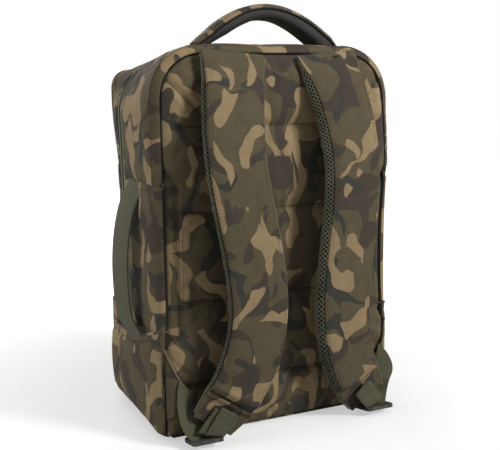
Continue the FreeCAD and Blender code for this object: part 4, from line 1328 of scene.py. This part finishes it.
def side_handle():
    """The webbing handle: one band, bowed out from its two sewn ends."""
    route = [(171, 338), (176, 329), (182, 316), (188, 302), (194, 278), (198, 252), (200, 222), (199.5, 190),
             (198, 168), (194, 151), (188, 138), (182, 126), (179, 116)]
    path = spline([(x, CARRY_Y, z) for x, z in route], 4.0)
    section = flat_section(46, 2.6, 0.9, per_side=16)
    piece = swept("side_handle_band", path, (1, 0.15, 0), section, CARRY_WEBBING)
    declare(piece, None, "webbing", "side_handle_webbing", "side_handle_end_upper", "side_handle_end_lower")
    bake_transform(piece)


def top_handle():
    """A padded arch: smooth grip cloth with a stitched camouflage strip on top."""
    base = [(-104, 506), (-98, 511.5), (-85.5, 521), (-64.5, 535.8), (-44, 547), (-22, 555), (0, 557.5),
            (22, 554.5), (43, 546), (62, 535), (82, 522), (94, 514), (100, 509)]
    path = spline([(x, HANDLE_Y, z) for x, z in base], 4.0)
    s = along(path) / along(path)[-1]
    width = np.interp(s, [0, 0.07, 0.2, 0.5, 0.8, 0.93, 1], [33, 36, 38, 37, 34, 28, 28])
    depth = np.interp(s, [0, 0.07, 0.2, 0.45, 0.8, 0.93, 1], [19, 23, 22, 18, 17.5, 12, 9])
    outward = unit(np.stack([np.sign(path[:, 0]) * 0.6, 0 * s, 0 * s + 0.8], 1))
    feet = np.abs(path[:, :1]) > 96
    _, across, out = framed(path, np.where(feet, outward, framed(path, (0, 0, 1))[2]))
    section = [flat_section(w, d, 0.5, radius=min(d * 0.46, 7.5)) for w, d in zip(width, depth)]
    pad = loft("handle_grip_pad", rings_along(path, section, across, out), GRIP)
    declare(pad, None, "grip_fabric", "top_handle_grip")

    path, across, out = path[1:-1], across[1:-1], out[1:-1]
    half, depth = width[1:-1, None] / 2, depth[1:-1, None]
    shape = step01(6, 14, depth)
    t = np.linspace(-1, 1, 15)
    lift = depth / 2 + 2.4 - 5.0 * np.abs(t) ** 5 * shape
    grid = refine(rings_along(path, np.stack([half * 0.96 * t, lift], -1), across, out))
    uv = cloth_uv(np.linspace(0, 260, len(grid))[:, None], grid[..., 1], 0, (13.4, 0.5))
    strip = panel("handle_top_strip", grid, uv, 4.4, (0, 0, 1), outside=CAMO, inside=GRIP)
    declare(strip, None, "camo_fabric", "top_handle_cover")
    sewn_sheet(strip, grid)
    normals = grid_normals(grid, (0, 0, 1))
    for j in (4, grid.shape[1] - 5):
        stitch("top_handle", grid[4:-4, j], normals[4:-4, j])
    pieces = [pad, strip, joined("handle_stitches", STITCHES.pop("top_handle"), THREAD)]
    for edge, name in ((-1, "front"), (1, "rear")):
        line = path + across * (edge * (half + 0.3)) + out * (depth / 2 - 4.6 * shape)
        # the piping reuses the near-black welt cloth, whose colour is painted seam shade
        pipe = swept("handle_piping_" + name, line, (0, 0, 1), cord_ring(1.5), WELT_PAINTED_SHADE)
        pieces.append(declare(pipe, None, "piping"))
    for piece in pieces:
        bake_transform(piece)


def handle_feet():
    """Box-stitched patches where the handle meets the top."""
    drop = lambda x: np.where(x > 101, (x - 101) ** 2 * 0.012, 0)
    for side, sign in SIDES:
        near, far, front, rear = 80, 112, HANDLE_Y - 15, HANDLE_Y + 15
        xx, yy = np.meshgrid(np.linspace(near, far, 12), np.linspace(front, rear, 12), indexing="ij")
        rim = np.minimum(np.minimum(xx - near, far - xx), np.minimum(yy - front, rear - yy))
        z = 512.6 + 1.6 * (1 - np.exp(-rim / 2)) - drop(xx)
        grid = refine(np.stack([sign * xx, yy, z], -1))
        piece = panel("handle_foot_" + side, grid, refine(np.stack([xx, yy], -1)) * MM, 1.8, (0, 0, 1),
                      outside=WEBBING, inside=WEBBING)
        declare(piece, "bag", "webbing", "handle_patch_" + side)
        box = np.array([(84, 71), (108, 71), (108, 93), (84, 93), (84, 71), (108, 93)], float)
        x, y = resample(box, 50).T
        stitch("bag", np.stack([sign * x, y, 514.2 - drop(x)], 1), (0, 0, 1))


def finish_cad_nodes():
    """The moulded and metal parts keep their CAD shape and get their materials."""
    looks = ((PLASTIC, ("ladder_lock_right", "ladder_lock_left")),
             (METAL, ("zip_slider_right", "zip_slider_left", "pocket_slider")),
             (TAB, ("zip_pull_right", "zip_pull_left", "pocket_pull")))
    for material, names in looks:
        for name in names:
            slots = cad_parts[name].data.materials
            slots.clear()
            slots.append(material)


# ------------------------------------------------------------------ room, light, camera

def studio():
    t = Tree("studio_floor")
    speck = t.noise(t.place(), 30, 3.0)
    t.finish(t.mix(t.ramp(speck, 0.3, 0.7), (0.55, 0.55, 0.55, 1), (0.57, 0.57, 0.57, 1)), 0.9,
             emission_color=(1, 1, 1, 1), specular_ior_level=0.1)
    far = t.node("VectorMath", {0: t.place()}, operation="LENGTH").outputs["Value"]
    glow = t.math("MULTIPLY_ADD", t.ramp(far, 0.25, 1.1), 0.45, 0.5)
    seen = t.node("LightPath").outputs["Is Camera Ray"]
    t.link(t.math("MULTIPLY", seen, glow), t.shader.inputs["Emission Strength"])
    count, drop, radii = 48, -0.6, (600, 1500, 3000, 4600)
    disc = [(r * x, r * y, drop) for r in radii for x, y in cord_ring(1, count)]
    fan = [[0, 1 + k, 1 + (k + 1) % count] for k in range(count)]
    mesh_object("studio_floor", [(0, 0, drop)] + disc, fan + quads(len(radii), count, 1, wrap=True),
                         None, [t.material])
    world = bpy.data.worlds.new("studio")
    bpy.context.scene.world = world
    world.use_nodes = True
    nodes, links = world.node_tree.nodes, world.node_tree.links
    back = nodes["Background"]
    back.inputs["Color"].default_value = (1.0, 1.0, 1.0, 1)
    seen = nodes.new("ShaderNodeMapRange")
    seen.inputs["To Min"].default_value, seen.inputs["To Max"].default_value = 0.075, 1.0
    links.new(nodes.new("ShaderNodeLightPath").outputs["Is Camera Ray"], seen.inputs["Value"])
    links.new(seen.outputs[0], back.inputs["Strength"])
    lamps = (("key", (-1.5, 2.05, 1.6), 0.6, 62), ("fill", (2.7, -0.2, 1.0), 1.4, 28),
             ("front", (0.3, -2.6, 1.6), 2.0, 40), ("top", (0.0, 0.5, 2.6), 1.5, 15))
    for name, place, size, power in lamps:
        light = bpy.data.lights.new(name, "AREA")
        light.size, light.energy = size, power
        lamp = bpy.data.objects.new(name, light)
        lamp.location = place
        lamp.rotation_mode = "QUATERNION"
        lamp.rotation_quaternion = (Vector((0, 0, 0.27)) - Vector(place)).to_track_quat("-Z", "Y")
        bpy.context.scene.collection.objects.link(lamp)
    bpy.context.scene.view_settings.view_transform = "Standard"


def camera():
    """The photograph's view: behind and to the right, a little above the middle."""
    yaw, pitch, tilt = math.radians(25.42), math.radians(8.33), math.radians(-0.98)
    forward = Vector((-math.sin(yaw) * math.cos(pitch), -math.cos(yaw) * math.cos(pitch), -math.sin(pitch)))
    right = Vector((-math.cos(yaw), math.sin(yaw), 0))
    up = right.cross(forward)
    across = right * math.cos(tilt) + up * math.sin(tilt)
    rise = up * math.cos(tilt) - right * math.sin(tilt)
    data = bpy.data.cameras.new("camera")
    data.lens, data.sensor_width = 61.13, 36.0
    cam = bpy.data.objects.new("camera", data)
    rows = zip(across, rise, -forward)
    cam.matrix_world = Matrix.Translation((0.523, 1.134, 0.441)) @ Matrix([list(r) for r in rows]).to_4x4()
    bpy.context.scene.collection.objects.link(cam)
    bpy.context.scene.camera = cam


# ------------------------------------------------------------------ everything in order

studio()
camera()
start_back()
start_body()
start_lid()
for side, sign in SIDES:
    side_pocket(side, sign)
puff(list(JOBS.values()))
finish_back()
finish_body()
finish_lid()
finish_tub(make_tub())
make_base()
make_piping()
make_zips()
for side, sign in SIDES:
    finish_side_pocket(side, sign)
    strap(side, sign)
    strap_patch(side, sign)
    wing(side, sign)
    adjuster(side, sign)
side_handle()
handle_feet()
top_handle()
finish_cad_nodes()
for body, parts in STITCHES.items():
    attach(joined("stitches_" + body, parts, THREAD), body)
